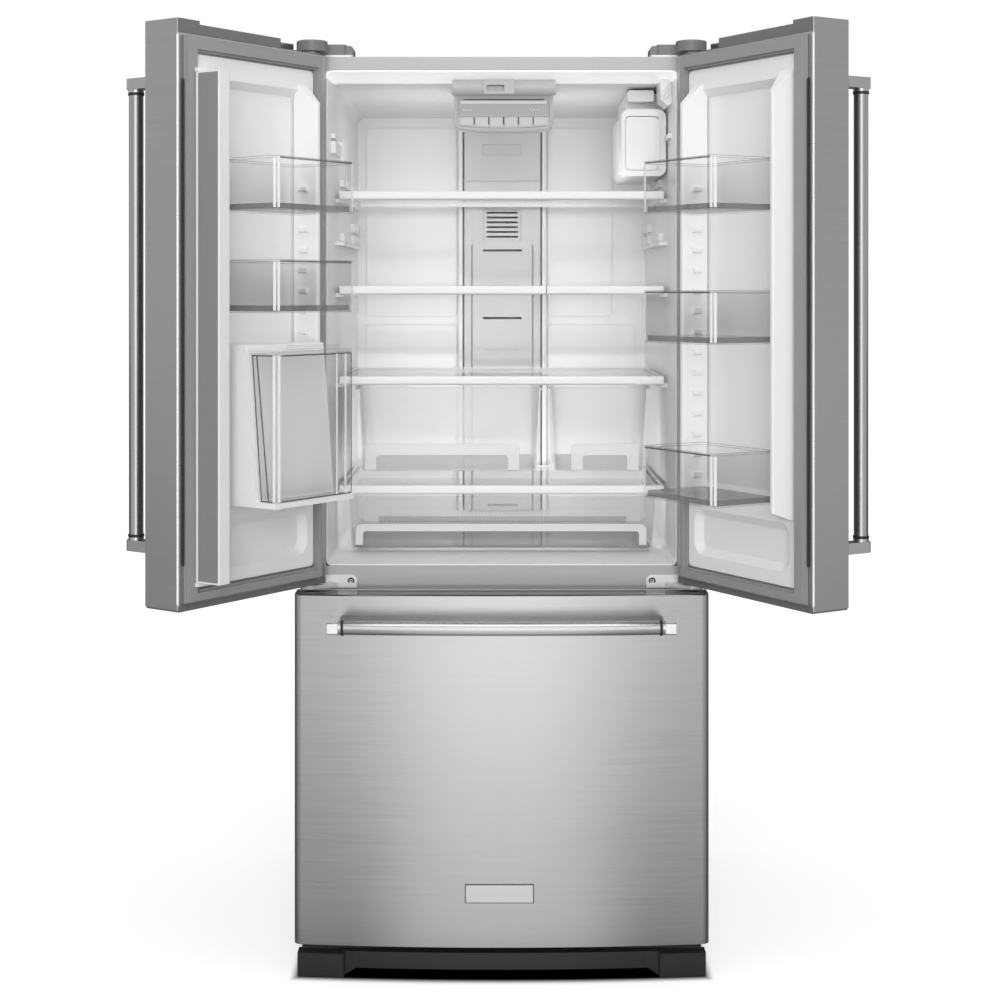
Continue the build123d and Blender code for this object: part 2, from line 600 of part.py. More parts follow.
def evaporator():
    """Finned evaporator behind the freezer's back cover."""
    y0, y1 = FREEZER_DEPTH - 52, FREEZER_DEPTH - 6
    coil = None
    for row in range(6):
        z = 330 + 34 * row
        tube = rod((-250, (y0 + y1) / 2, z), (250, (y0 + y1) / 2, z), 5)
        coil = tube if coil is None else coil + tube
    for side in (-252, 252):
        coil += block(side - 2, side + 2, y0 + 4, y1 - 4, 318, 512)
    for index in range(19):
        x = -225 + 25 * index
        coil += block(x - 0.4, x + 0.4, y0 + 6, y1 - 6, 322, 508)
    return coil


def evaporator_cover():
    """Freezer back cover with the ring grille before the fan's place and air slots."""
    y = FREEZER_DEPTH - 62
    half = FREEZER_HALF_W - 1
    cover = facing(-half, half, y, y + 3, FREEZER_FLOOR + 1, FREEZER_TOP - 1, 10)
    for row in range(5):
        z = 130 + 16 * row
        for x in (-200, -70, 70, 200):
            cover -= facing(x - 48, x + 48, y - 1, y + 5, z, z + 7, 3)
    for radius in (24, 36, 48):
        ring = Circle(radius + 4) - Circle(radius) - Rectangle(8, 200) - Rectangle(200, 8)
        cover -= extrude(Plane.XZ.offset(1 - y) * Pos(0, 575) * ring, amount=-5)
    return cover


# ---- inside the fresh food compartment ----
def air_tower():
    """Air duct up the middle of the back wall, with a stepped centre panel, slots and a louvre grille."""
    y0 = TOWER_FRONT_Y
    back = CAVITY_DEPTH - 0.2
    z0, z1 = 760, 1608
    tower = plan_prism([(TOWER_X0, back), (TOWER_X0, y0 + 2), (TOWER_X0 + 2, y0), (TOWER_X1 - 2, y0),
                        (TOWER_X1, y0 + 2), (TOWER_X1, back)], z0, z1)
    tower += block(TOWER_X0 - 12, TOWER_X1 + 12, back - 1.5, back, z0, z1)
    for x0 in (TOWER_X0 - 12, TOWER_X1 + 12 - TOWER_FLANGE):
        tower += block(x0, x0 + TOWER_FLANGE, y0 + 8, back, z0, z1)
    mid = (TOWER_X0 + TOWER_X1) / 2
    tower += facing(mid - 64, mid + 64, y0 - 4, y0 + 1, 765, 1344, 6)
    for x in (mid - 67, mid + 64):
        tower -= block(x, x + 3, y0 - 5, y0 + 9, z0 - 1, 1334)
    tower -= facing(mid - 42, mid + 42, y0 - 1, y0 + 3, 1334, 1412, 5) - facing(
        mid - 38, mid + 38, y0 - 6, y0 + 6, 1338, 1408, 4)
    for row in range(6):
        z = 1350 + 10.4 * row
        tower -= facing(mid - 34, mid + 34, y0 - 6, y0 + 32, z, z + 4.2, 2)
    for z in (1320.0, 1174.0):
        tower -= facing(mid - 42, mid + 42, y0 - 6, y0 + 26, z, z + 4.8, 2)
    tower -= facing(mid - 42, mid + 42, y0 - 1, y0 + 4.5, 1528, 1552, 3)
    tower -= block(TOWER_X0 - 1, TOWER_X1 + 1, y0 - 1, y0 + 2.5, 1471, 1473)
    for z0, z1 in ((1247, 1253), (1101, 1109), (975, 1008), (900, 906)):
        tower -= facing(mid - 35, mid + 35, y0 - 5, y0 - 1.8, z0, z1, 2.5)
    return tower


def control_housing():
    """Ceiling housing: round front barrel with the flap's guide pocket, sloped face and rounded lower corners."""
    x0, x1 = PANEL_X - 97, PANEL_X + 97
    slope = math.tan(math.radians(PANEL_TILT))
    face_top, face_low = 1603.0, 1534.0
    y_top = 66.0
    y_low = y_top + (face_top - face_low) * slope
    profile = [(56, 1630), (56, 1604), (y_top, face_top), (y_low, face_low), (y_low + 60, face_low + 4),
               (235, 1608), (235, 1619)]
    body = side_prism(profile, x0 + 4, x1 - 4, {3: 8.0, 4: 10.0})
    side_low, corner_r = 1544.0, 12.0
    curve = ThreePointArc((x1 - 4, side_low), (PANEL_X, face_low), (x0 + 4, side_low))
    frame = Polyline((x0 + 4, side_low), (x0 + 4, 1640), (x1 - 4, 1640), (x1 - 4, side_low))
    keep = make_face([*curve.edges(), *frame.edges()])
    for x in (x0 + 4, x1 - 4):
        keep = fillet(nearest_corner(keep, (x, side_low, 0)), corner_r)
    body &= extrude(Plane.XZ.offset(-300) * keep, amount=260)
    barrel = rod((x0, 57, 1616.3), (x1, 57, 1616.3), 14.8)
    pocket = facing(PANEL_X - 32, PANEL_X + 1, 36, 52, 1608, 1620, 2)
    lug = facing(PANEL_X - 38, PANEL_X + 20, 39.5, 60, 1603, 1630, 3)
    body += barrel
    body += lug & block(-100, 100, 30, 70, 1602, 1630.6)
    body -= pocket
    return (body & cavity_room()) - panel_recess()


def panel_plane():
    """Plane in the middle of the sloped face, its normal pointing out of the face."""
    tilt = math.radians(PANEL_TILT)
    normal = (0, -math.cos(tilt), -math.sin(tilt))
    middle_z = 1568.0
    y = 66.0 + (1603.0 - middle_z) * math.tan(tilt)
    return Plane(origin=(PANEL_X, y, middle_z), x_dir=(1, 0, 0), z_dir=normal)


def panel_outline(grow):
    """Panel outline with the bowed lower edge."""
    half = PANEL_HALF + grow
    top = 30.0 + grow
    low = -21.5 - grow
    curve = ThreePointArc((half, low), (0, low - PANEL_BOW), (-half, low))
    frame = Polyline((-half, low), (-half, top), (half, top), (half, low))
    return make_face([*curve.edges(), *frame.edges()])


def panel_recess():
    return panel_plane() * Pos(0, 0, -7) * extrude(panel_outline(0.4), amount=20)


def control_panel():
    """Panel insert with its bright upper ridge and the six key openings."""
    plate = extrude(panel_outline(0), amount=5)
    ridge = Pos(0, 24, 4.5) * Box(BUTTON_COUNT * BUTTON_PITCH, 7, 3)
    panel = plate + ridge
    for index in range(BUTTON_COUNT):
        panel -= Pos(0, 0, -1) * extrude(button_outline(index, 0.3), amount=9)
    return panel_plane() * Pos(0, 0, -6.6) * panel


def button_outline(index, grow):
    """One key: straight sides, lower edge following the panel's bow."""
    x = (index - (BUTTON_COUNT - 1) / 2) * BUTTON_PITCH
    half = BUTTON_PITCH / 2 - 1.6 + grow

    def low(at):
        return -19.0 - grow - PANEL_BOW * (1 - (at / PANEL_HALF) ** 2)

    top = -5.0 + grow
    corners = [(x - half, top), (x + half, top), (x + half, low(x + half)), (x - half, low(x - half))]
    return make_face(Polyline(*corners, close=True))


def control_button(index):
    key = extrude(button_outline(index, 0), amount=5.4)
    return panel_plane() * Pos(0, 0, -5.4) * key


def filter_housing():
    """Housing of the water filter in the upper right corner, open behind its cover."""
    x0, x1 = 230.0, cavity_half(300) - 1.0
    body = facing(x0, x1, 141, 420, 1456, 1585, 16) + facing(x0 + 12, x1, 190, 420, 1575, 1619, 3)
    body += facing(x0 + 13, x0 + 64, 150, 260, 1600, 1622, 4)
    gusset = [(297, 1640), (330, 1640), (330, 1592), (312, 1583), (299, 1594)]
    corner = Plane.XZ.offset(-142) * make_face(Polyline(*gusset, close=True))
    body += extrude(corner, amount=82)
    for step in range(3):
        body -= Pos(300 + 9 * step, 60, 1606) * Rot(0, 45, 0) * Box(3, 8, 70)
    body -= facing(238.0, 302.0, 139, 150, 1467, 1571.5, 8)
    body -= rod((270, 130, 1532), (270, 405, 1532), 26.5)
    return (body & cavity_room()) - hinge_line()


FILTER_HINGE_X = 303.0
FILTER_HINGE_Y = 139.2
FILTER_HINGE_Z = 1519.0


def hinge_line():
    return Pos(FILTER_HINGE_X, FILTER_HINGE_Y, FILTER_HINGE_Z) * Cylinder(2.5, 110)


def filter_cover():
    """Cover door with rounded corners and a hinge barrel along its right edge."""
    cover = facing(238.6, 300.8, 141.5, 146.5, 1467.8, 1570.2, 8)
    for x1, y1 in ((FILTER_HINGE_X, 140.7), (300.8, 142.0)):
        cover += block(297, x1, FILTER_HINGE_Y - 1, y1, FILTER_HINGE_Z - 44, FILTER_HINGE_Z + 44)
    return cover + Pos(FILTER_HINGE_X, FILTER_HINGE_Y, FILTER_HINGE_Z) * Cylinder(2.2, 102)


def water_filter():
    """Replaceable cartridge lying in the housing, with a grip on its front end."""
    body = rod((270, 168, 1532), (270, 404, 1532), 25.8)
    knob = rod((270, 158, 1532), (270, 168, 1532), 20)
    return body + knob + block(251, 289, 154, 160, 1529, 1535)


def shelf_frame(x0, x1, z, back_y):
    """Moulded shelf frame: rounded front trim, side rails and back bar round a glass pane."""
    trim = side_prism([(SHELF_FRONT_Y, z - TRIM_H), (SHELF_FRONT_Y + 11, z - TRIM_H), (SHELF_FRONT_Y + 11, z),
                       (SHELF_FRONT_Y, z)], x0, x1, {0: 5.0, 3: 5.0})
    frame = trim
    for x in (x0, x1 - 9):
        frame += block(x, x + 9, SHELF_FRONT_Y + 10, back_y, z - FRAME_RAIL_H, z - 1)
    frame += block(x0, x1, back_y - 8, back_y, z - 12, z - 1)
    frame -= glass_room(x0, x1, z, back_y, 0.0)
    return frame


def glass_room(x0, x1, z, back_y, shrink):
    return block(x0 + 4 + shrink, x1 - 4 - shrink, SHELF_FRONT_Y + 6 + shrink, back_y - 4 - shrink,
                 z - 2.0 - GLASS_T, z - 2.0 if shrink else z + 1)


def shelf_spans():
    """Left, right, height and back edge of each glass shelf: top, split pair, crisper and pantry covers."""
    half = SHELF_HALF_W
    return [(-half, half, TOP_SHELF_Z, SHELF_BACK_Y), (-half, SPLIT_X - 0.8, MID_SHELF_Z, SHELF_BACK_Y),
            (SPLIT_X + 0.8, half, MID_SHELF_Z, SHELF_BACK_Y), (-half, half, CRISPER_COVER_Z, COVER_BACK_Y),
            (-half, half, PANTRY_COVER_Z, COVER_BACK_Y)]


def shelf_glass():
    return [glass_room(*span, 0.2) for span in shelf_spans()]


RIB_COUNT = 68
RIB_PITCH = 7.0
CRISPER_Z0 = 889.0
CRISPER_Z1 = 1050.0
CRISPER_BACK = 470.0
LEFT_CRISPER = (-275.0, 73.0)
RIGHT_CRISPER = (97.0, 280.0)
LEFT_GRIP = (-262.0, 34.0)
RIGHT_GRIP = (134.0, 263.0)


def crisper(x, grip_x):
    """Clear drawer: drafted tub with broad corners, side runners and a wide grip on two legs."""
    y = (SHELF_FRONT_Y + 6, CRISPER_BACK)
    z0, z1 = CRISPER_Z0, CRISPER_Z1
    body = tub(x, y, z0, z1, draft=6.0, wall=2.5, radius=26.0)
    for side_x0, side_x1 in ((x[0] - 5, x[0] + 1), (x[1] - 1, x[1] + 5)):
        body += block(side_x0, side_x1, y[0] + 20, y[1] - 8, z1 - 3, z1)
    leg = 22.0
    grip = facing(grip_x[0], grip_x[1], y[0] - 2, y[0] + 14, z0 + 3, z0 + 52, 6)
    grip -= facing(grip_x[0] + leg, grip_x[1] - leg, y[0] - 3, y[0] + 15, z0 - 20, z0 + 31, 4)
    hollow_front = block(x[0], x[1], y[0] + 6, y[1], z0, z1 + 5)
    return body + (grip - hollow_front)


def crisper_hangers():
    """Runners under the cover glass that the crispers' rims slide in."""
    z1 = CRISPER_COVER_Z - 14.3
    hangers = None
    for x, mouth in ((LEFT_CRISPER[0], -1), (LEFT_CRISPER[1], 1), (RIGHT_CRISPER[0], -1), (RIGHT_CRISPER[1], 1)):
        reach = x + mouth * 5.6
        hook_x = sorted((reach, reach - mouth * 4.2))
        web_x = sorted((reach, reach + mouth * 2.0))
        rail = block(hook_x[0], hook_x[1], 150, 480, CRISPER_Z1 - 6, CRISPER_Z1 - 3.5)
        rail += block(web_x[0], web_x[1], 150, 480, CRISPER_Z1 - 6, z1)
        hangers = rail if hangers is None else hangers + rail
    return hangers


def pantry_drawer():
    """Wide shallow drawer with a full-width grip, a ribbed band over it and a short raised mark line."""
    x = (-296.0, 298.0)
    y = (SHELF_FRONT_Y + 6, CRISPER_BACK)
    z0, z1 = 738.0, 840.0
    body = tub(x, y, z0, z1, draft=6.0, wall=2.6, radius=28.0)
    grip = facing(x[0] + 16, x[1] - 20, y[0] - 2, y[0] + 12, z0 + 10, z0 + 50, 12)
    grip -= facing(x[0] + 30, x[1] - 34, y[0] - 3, y[0] + 13, z0 - 10, z0 + 36, 8)
    teeth = [(x[0] + 60, y[0] + 5)]
    for index in range(RIB_COUNT):
        left = x[0] + 60 + index * RIB_PITCH
        teeth += [(left, y[0] + 0.6), (left + RIB_PITCH / 2, y[0] + 0.6),
                  (left + RIB_PITCH / 2, y[0] + 2.2), (left + RIB_PITCH, y[0] + 2.2)]
    teeth.append((x[0] + 60 + RIB_COUNT * RIB_PITCH, y[0] + 5))
    ribs = plan_prism(teeth, z0 + 52, z0 + 64)
    line = facing(-27, 31, y[0] - 0.6, y[0] + 3, 822, 826, 1.8)
    filled = tub_outside(x, y, z0, z1, 6.0, 28.0)
    return [body] + [piece - filled for piece in (grip, ribs, line)]


# ---- hinges ----
def top_hinge(side):
    """Steel plate on the cabinet top with its arm and the pivot pin."""
    z0, z1 = CAB_TOP + 0.2, CAB_TOP + 4.0
    hx = HINGE_X
    points = [(-hx - 9, HINGE_Y - 9), (-hx + 14, HINGE_Y - 9), (-hx + 22, 3), (-274, 3), (-274, 62), (-hx - 9, 62)]
    plate = plan_prism(points, z0, z1, {0: 8.0, 1: 8.0, 3: 6.0, 4: 8.0, 5: 6.0})
    pin = rod((-hx, HINGE_Y, 1642), (-hx, HINGE_Y, z1 - 1), PIN_R)
    body = plate + pin
    for x in (-350, -292):
        head = Pos(x, 46, z1 + 2) * Cylinder(7, 4.4)
        body += head
    return body if side < 0 else mirror(body, about=Plane.YZ)


def top_hinge_cover(side):
    """Round cap over the pivot, box over the plate and the small end fairing."""
    z0, z1 = CAB_TOP + 4.4, 1691.0
    cap = Pos(-346, -30, (z0 + z1) / 2) * Cylinder(28.3, z1 - z0)
    cap = fillet(cap.edges().sort_by(Axis.Z)[-1], 3)
    neck = upright(-366, -326, -18, 12, z0, 1686, 4)
    box = upright(-364, -287, 4, 60, z0, 1690, 6)
    end = facing(-290, -274, 8, 56, z0, 1688, 7) + block(-288, -274, 8, 56, z0, 1676)
    body = cap + neck + box + end
    for x in (-350, -292):
        body -= Pos(x, 46, 1670) * Cylinder(8, 10)
    return body if side < 0 else mirror(body, about=Plane.YZ)


def centre_hinge(side):
    """Bracket on the cross rail: screwed plate, two arms, leaf and the lower pivot pin."""
    y1 = -0.2
    plate = facing(-334, -266, y1 - 3.5, y1, 690.0, 713.0, 11)
    upper = plan_prism([(-266, y1), (-266, y1 - 9), (-300, y1 - 9), (-HINGE_X + 9, HINGE_Y - 6),
                        (-HINGE_X - 12, HINGE_Y - 6), (-HINGE_X - 12, y1 - 14), (-336, y1)], 693, 699,
                       {3: 5.0, 4: 10.0})
    lower = plan_prism([(-266, y1), (-266, y1 - 7), (-300, y1 - 7), (-HINGE_X + 10, HINGE_Y + 8),
                        (-HINGE_X - 10, HINGE_Y + 8), (-HINGE_X - 10, y1 - 14), (-336, y1)], 689.5, 693.2)
    pin = rod((-HINGE_X, HINGE_Y, 694), (-HINGE_X, HINGE_Y, 726), PIN_R)
    washer = rod((-HINGE_X, HINGE_Y, 698.5), (-HINGE_X, HINGE_Y, 702.6), 11)
    body = plate + upper + lower + pin + washer
    screw_x, screw_z = -277.0, 702.0
    screw = rod((screw_x, y1 - 3, screw_z), (screw_x, y1 - 6.5, screw_z), 6.5)
    body += screw - rod((screw_x, y1 - 4.5, screw_z), (screw_x, y1 - 7, screw_z), 3.2)
    return body if side < 0 else mirror(body, about=Plane.YZ)


# ---- freezer drawer ----
def drawer_skin():
    height = DRAWER_TOP - DRAWER_BOTTOM
    outer = extrude(front_outline(-FRONT_HALF_W, FRONT_HALF_W, INNER_Y), amount=height)
    inner = extrude(front_outline(-FRONT_HALF_W, FRONT_HALF_W, INNER_Y, SHEET), amount=height)
    skin = Pos(0, 0, DRAWER_BOTTOM) * (outer - inner)
    return skin - block(-FREEZER_HALF_W + 14, FREEZER_HALF_W - 14, INNER_Y - 5, INNER_Y + 5, 112, 648)


def drawer_caps():
    """Dark end caps let into the top and bottom of the drawer front."""
    plan = front_outline(-FRONT_HALF_W, FRONT_HALF_W, INNER_Y, SHEET + 0.3)
    top = Pos(0, 0, DRAWER_TOP - 11) * extrude(plan, amount=10)
    bottom = Pos(0, 0, DRAWER_BOTTOM + 1) * extrude(plan, amount=10)
    return [top, bottom]


def drawer_liner():
    """Inner panel of the drawer front with its foam core."""
    plan = front_outline(-FRONT_HALF_W, FRONT_HALF_W, INNER_Y - SHEET, SHEET + 0.3)
    body = Pos(0, 0, DRAWER_BOTTOM + 11.5) * extrude(plan, amount=DRAWER_TOP - DRAWER_BOTTOM - 23)
    half = FREEZER_HALF_W - 15
    body += facing(-half, half, INNER_Y - 8, 9, 113, 647, 12)
    body -= facing(-half + 24, half - 24, -4, 10, 470, 625, 10)
    return body


def drawer_gasket():
    half = FREEZER_HALF_W + 8
    y0 = INNER_Y + 0.3
    frame = block(-half, half, y0, -0.4, 84, 672)
    return frame - block(-half + 20, half - 20, y0 - 1, 1, 106, 654)


def freezer_handle():
    """Horizontal tube bowed with the front, and its two mounts."""
    ends = []
    for x in (-FREEZER_HANDLE_HALF + 24, 0, FREEZER_HANDLE_HALF - 24):
        ends.append((x, front_y(x) - HANDLE_STANDOFF + 6, FREEZER_HANDLE_Z))
    path = ThreePointArc(*ends)
    section = Plane(origin=path @ 0, z_dir=path % 0) * Circle(HANDLE_R)
    bar = sweep(section, path=path)
    mounts = []
    for side in (-1, 1):
        x0, x1 = sorted((side * FREEZER_HANDLE_HALF, side * (FREEZER_HANDLE_HALF - 19)))
        face = front_y(x0)
        y = front_y((x0 + x1) / 2) - HANDLE_STANDOFF + 6
        low, high = FREEZER_HANDLE_Z - 11.0, FREEZER_HANDLE_Z + 10.0
        profile = [(face + 12, high), (y - 13.5, high), (y - 13.5, low), (face + 12, low)]
        arm = side_prism(profile, x0, x1, {1: 3.0, 2: 3.0})
        arm -= Pos(0, 0, 600) * extrude(front_outline(-FRONT_HALF_W, FRONT_HALF_W, INNER_Y, -0.3), amount=100)
        inner = side * (FREEZER_HANDLE_HALF - 19)
        arm += rod((inner, y, FREEZER_HANDLE_Z), (inner - side * 5, y - 0.2, FREEZER_HANDLE_Z), HANDLE_R + 0.6)
        mounts.append(arm)
    return bar - mounts[0] - mounts[1], mounts


SLIDE_Z = 412.0
SLIDE_Y0, SLIDE_Y1 = 14.0, 400.0


def slide_members():
    """Telescopic slides of the drawer: cabinet channel, middle channel and drawer bar, one per side."""
    fixed, middle, moving = [], [], []
    for side in (-1, 1):
        def part(x0, x1, dz0, dz1, y0=SLIDE_Y0, y1=SLIDE_Y1):
            a, b = sorted((side * x0, side * x1))
            return block(a, b, y0, y1, SLIDE_Z + dz0, SLIDE_Z + dz1)

        wall = FREEZER_HALF_W - 0.3
        channel = part(wall, wall - 2, -19, 19)
        channel += part(wall, wall - 13, 17, 19)
        channel += part(wall, wall - 13, -19, -17)
        fixed.append(channel)
        inner = part(wall - 4, wall - 6, -16, 16)
        inner += part(wall - 4, wall - 15, 14, 16)
        inner += part(wall - 4, wall - 15, -16, -14)
        middle.append(inner)
        bar = part(wall - 8, wall - 18, -11, 11)
        bar += part(wall - 15, wall - 18, -30, 11, 10, SLIDE_Y1)
        bar += part(wall - 15, wall - 34, -30, -12, 9.2, 12)
        moving.append(bar)
    return fixed, middle, moving


BASKET_HALF = FREEZER_HALF_W - 20.0


def lower_basket():
    """Deep moulded bin carried by the slides."""
    rim = SLIDE_Z + 14
    body = tub((-BASKET_HALF + 4, BASKET_HALF - 4), (16, 392), 122, rim, draft=14.0, wall=3.0, radius=22.0)
    for side in (-1, 1):
        x0, x1 = sorted((side * (BASKET_HALF - 5), side * (BASKET_HALF + 4.2)))
        body += block(x0, x1, 30, 380, rim - 2.8, rim)
    return body


def upper_basket():
    """Shallow tray on its own runners above the deep bin."""
    z0, z1 = UPPER_BASKET_Z - 105, UPPER_BASKET_Z
    body = tub((-BASKET_HALF - 4, BASKET_HALF + 4), (26, 386), z0, z1, draft=10.0, wall=2.8, radius=18.0)
    for side in (-1, 1):
        x0, x1 = sorted((side * (BASKET_HALF + 3), side * (FREEZER_HALF_W - 3)))
        body += block(x0, x1, 40, 376, z1 - 0.7, z1 + 2.5)
    slot = facing(-230, 230, 20, 34, z1 - 34, z1 - 14, 8)
    return body - slot


def base_grille():
    """Toe grille: bowed bar between two lower end blocks, dark recess plate behind."""
    def band(x0, x1, z0, z1, back, step):
        left, right, middle = x0, x1, (x0 + x1) / 2
        front = ThreePointArc((left, front_y(left) + step), (middle, front_y(middle) + step),
                              (right, front_y(right) + step))
        rest = Polyline((right, front_y(right) + step), (right, back), (left, back), (left, front_y(left) + step))
        face = make_face([*front.edges(), *rest.edges()])
        return Pos(0, 0, z0) * extrude(face, amount=z1 - z0)

    bar = band(-290, 290, 14, 44, -50, 12)
    ends = band(-368, -284, 1.5, 43, -44, -2) + band(284, 368, 1.5, 43, -44, -2)
    ends = chamfer(ends.edges().filter_by(Axis.Z).group_by(Axis.Y)[0], 3)
    for side in (-1, 1):
        slope = make_face(Polyline((side * 283, 1.5), (side * 283, 43), (side * 258, 43), (side * 258, 18),
                                   close=True))
        ends += extrude(Plane.XZ.offset(69) * slope, amount=-25)
    plate = block(-362, 362, -50, -20, 8, 52)
    grille = bar + ends + plate
    for side in (-1, 1):
        x0, x1 = sorted((side * 330, side * 362))
        grille += block(x0, x1, -21, 3, 36, 39)
    return grille


# ---- assembly ----
def write(name, shape):
    """Collect the node's solids, move them to the origin and write them."""
    pieces = shape if isinstance(shape, list) else [shape]
    solids = [Pos(0, -ORIGIN_Y, 0) * solid for piece in pieces for solid in piece.solids()]
    node = solids[0] if len(solids) == 1 else Compound(children=solids)
    export_step(node, f"parts/{name}.step")


LEFT_FREE_DIKE = [(294, -6), (286, DIKE_H), (272, DIKE_H), (262, -9)]
RIGHT_FREE_DIKE = [(309, -6), (297, DIKE_H), (289, DIKE_H), (263, -9)]
RIGHT_BINS = ((1370, 1461), (1146, 1236), (876, 966))
LEFT_BINS = ((1370, 1460), (1199, 1288))


def write_doors():
    skin = door_skin()
    caps = door_caps()
    gasket = door_gasket()
    bar, mounts = door_handle()
    left_liner = door_liner(LEFT_FREE_DIKE, 866.0) + flap_brackets() + pitcher_dock()
    liners = {"left": left_liner, "right": door_liner(RIGHT_FREE_DIKE, 866.0)}
    for side, swing, bins in (("left", swing_left, LEFT_BINS), ("right", swing_right, RIGHT_BINS)):
        write(f"{side}_door_skin", swing(skin))
        write(f"{side}_door_caps", [swing(cap) for cap in caps])
        write(f"{side}_door_liner", swing(liners[side]))
        write(f"{side}_door_gasket", swing(gasket))
        write(f"{side}_handle_bar", swing(bar))
        write(f"{side}_handle_mounts", [swing(mount) for mount in mounts])
        write(f"{side}_door_bins", [swing(door_bin(z0, z1)) for z0, z1 in bins])
    write("mullion_flap", swing_left(mullion_flap()))
    write("pitcher", [swing_left(piece) for piece in pitcher()])


def write_cabinet():
    write("cabinet_shell", cabinet_shell())
    write("mullion_rail", mullion_rail())
    write("fridge_liner", fridge_liner())
    write("freezer_liner", freezer_liner())
    write("insulation_foam", insulation_foam())
    write("rear_panels", [rear_panel(), machine_cover()])
    write("base_frame", base_frame())
    write("compressor", compressor())
    write("evaporator", evaporator())
    write("evaporator_cover", evaporator_cover())
    write("rear_rollers", [roller(-1), roller(1)])
    write("levelling_feet", levelling_feet())
    write("base_grille", base_grille())
    write("top_hinges", [top_hinge(-1), top_hinge(1)])
    write("top_hinge_covers", [top_hinge_cover(-1), top_hinge_cover(1)])
    write("centre_hinges", [centre_hinge(-1), centre_hinge(1)])


def write_interior():
    write("air_tower", air_tower())
    write("control_housing", control_housing())
    write("control_panel", control_panel())
    for index in range(BUTTON_COUNT):
        write(f"control_button_{index + 1}", control_button(index))
    write("filter_housing", filter_housing())
    write("filter_cover", filter_cover())
    write("water_filter", water_filter())
    write("shelf_frames", [shelf_frame(*span) for span in shelf_spans()] + [crisper_hangers()])
    write("shelf_glass", shelf_glass())
    write("crisper_left", crisper(LEFT_CRISPER, LEFT_GRIP))
    write("crisper_right", crisper(RIGHT_CRISPER, RIGHT_GRIP))
    write("pantry_drawer", pantry_drawer())


def write_freezer():
    write("freezer_front_skin", drawer_skin())
    write("freezer_front_caps", drawer_caps())
    write("freezer_front_liner", drawer_liner())
    write("freezer_gasket", drawer_gasket())
    bar, mounts = freezer_handle()
    write("freezer_handle_bar", bar)
    write("freezer_handle_mounts", mounts)
    fixed, middle, moving = slide_members()
    write("freezer_slides_fixed", fixed)
    write("freezer_slides_middle", middle)
    write("freezer_slides_moving", moving)
    write("lower_basket", lower_basket())
    write("upper_basket", upper_basket())


os.makedirs("parts", exist_ok=True)
write_cabinet()
write_interior()
write_doors()
write_freezer()
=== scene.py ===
import json
import math

import bmesh
import bpy
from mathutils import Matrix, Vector


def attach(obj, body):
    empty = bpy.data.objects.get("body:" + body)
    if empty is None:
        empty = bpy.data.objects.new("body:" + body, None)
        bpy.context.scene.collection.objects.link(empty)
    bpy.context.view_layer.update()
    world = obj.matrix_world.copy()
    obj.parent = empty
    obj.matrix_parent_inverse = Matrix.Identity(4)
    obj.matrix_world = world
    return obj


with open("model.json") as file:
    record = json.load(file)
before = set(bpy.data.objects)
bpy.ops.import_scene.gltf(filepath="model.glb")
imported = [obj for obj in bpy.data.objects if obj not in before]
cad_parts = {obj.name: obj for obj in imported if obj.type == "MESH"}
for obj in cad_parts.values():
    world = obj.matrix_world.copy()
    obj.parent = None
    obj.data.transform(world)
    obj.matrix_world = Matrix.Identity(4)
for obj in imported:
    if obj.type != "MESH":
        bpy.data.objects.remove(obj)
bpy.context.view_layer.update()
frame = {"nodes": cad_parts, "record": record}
NODES = frame["nodes"]

# ---- sizes shared with the CAD, in millimetres ----
# y runs back from the cabinet's front plane, and ORIGIN_Y of it is the row frame's origin.
ORIGIN_Y = 157.0
HINGE_X, HINGE_Y = 352.6, -36.0
LEFT_OPEN, RIGHT_OPEN = 125.3, 121.0
DOOR_Z0, DOOR_Z1 = 716.0, 1661.0
DOOR_FREE_X, DOOR_FOLD_R = -1.0, 4.0
INNER_Y = -12.0
FRONT_Y_MID, FRONT_HALF_W, FRONT_BOW = -89.5, 374.5, 19.0
FRONT_R = (FRONT_HALF_W**2 + FRONT_BOW**2) / (2 * FRONT_BOW)

BINS = {"left": ((1370, 1460), (1199, 1288)), "right": ((1370, 1461), (1146, 1236), (876, 966))}
BIN_U0, BIN_U1, BIN_DEPTH, BIN_CORNER, BIN_FLOOR = 61.0, 261.0, 138.0, 9.0, 2.5
PITCHER_Z0, PITCHER_Z1, PITCHER_CORNER = 886.0, 1128.0, 10.0
FLAP_X, FLAP_Z0, FLAP_Z1, FLAP_DEPTH = 324.0 - HINGE_X, 751.0, 1600.0, 68.0
GASKET_X = 339.6 - HINGE_X
DRAWER_TOP_Z = 687.5
GRIP_FRONT_Y = 135.6
HINGE_SCREW = (277.0, -6.6, 702.0)
BADGE = (-66.0, 58.0, 138.0, 172.0)

BAR_X, BAR_STAND, BAR_ENDS = 312.5 - HINGE_X, 62.0, (790.0, 1599.0)
DRAWER_BAR_STAND, DRAWER_BAR_END, DRAWER_BAR_Z = 56.0, 308.0, 640.0
COLLAR_IN = 26.5

PANEL_TILT = math.radians(14.0)
PANEL_X, PANEL_MID_Z, PANEL_TOP_Y, PANEL_TOP_Z = 4.0, 1568.0, 66.0, 1603.0
KEY_PITCH = 28.0


def row(x, y, z):
    """Cabinet millimetres to the row frame in metres."""
    return Vector((x / 1000, (y - ORIGIN_Y) / 1000, z / 1000))


def turned(x, y, z, side):
    """A point of the closed left door, set on that door as it stands open, or mirrored on the right one."""
    angle = math.radians(-LEFT_OPEN if side == "left" else RIGHT_OPEN)
    mirror = 1 if side == "left" else -1
    hinge_x = -HINGE_X * mirror
    dx, dy = x * mirror - hinge_x, y - HINGE_Y
    return row(hinge_x + dx * math.cos(angle) - dy * math.sin(angle),
               HINGE_Y + dx * math.sin(angle) + dy * math.cos(angle), z)


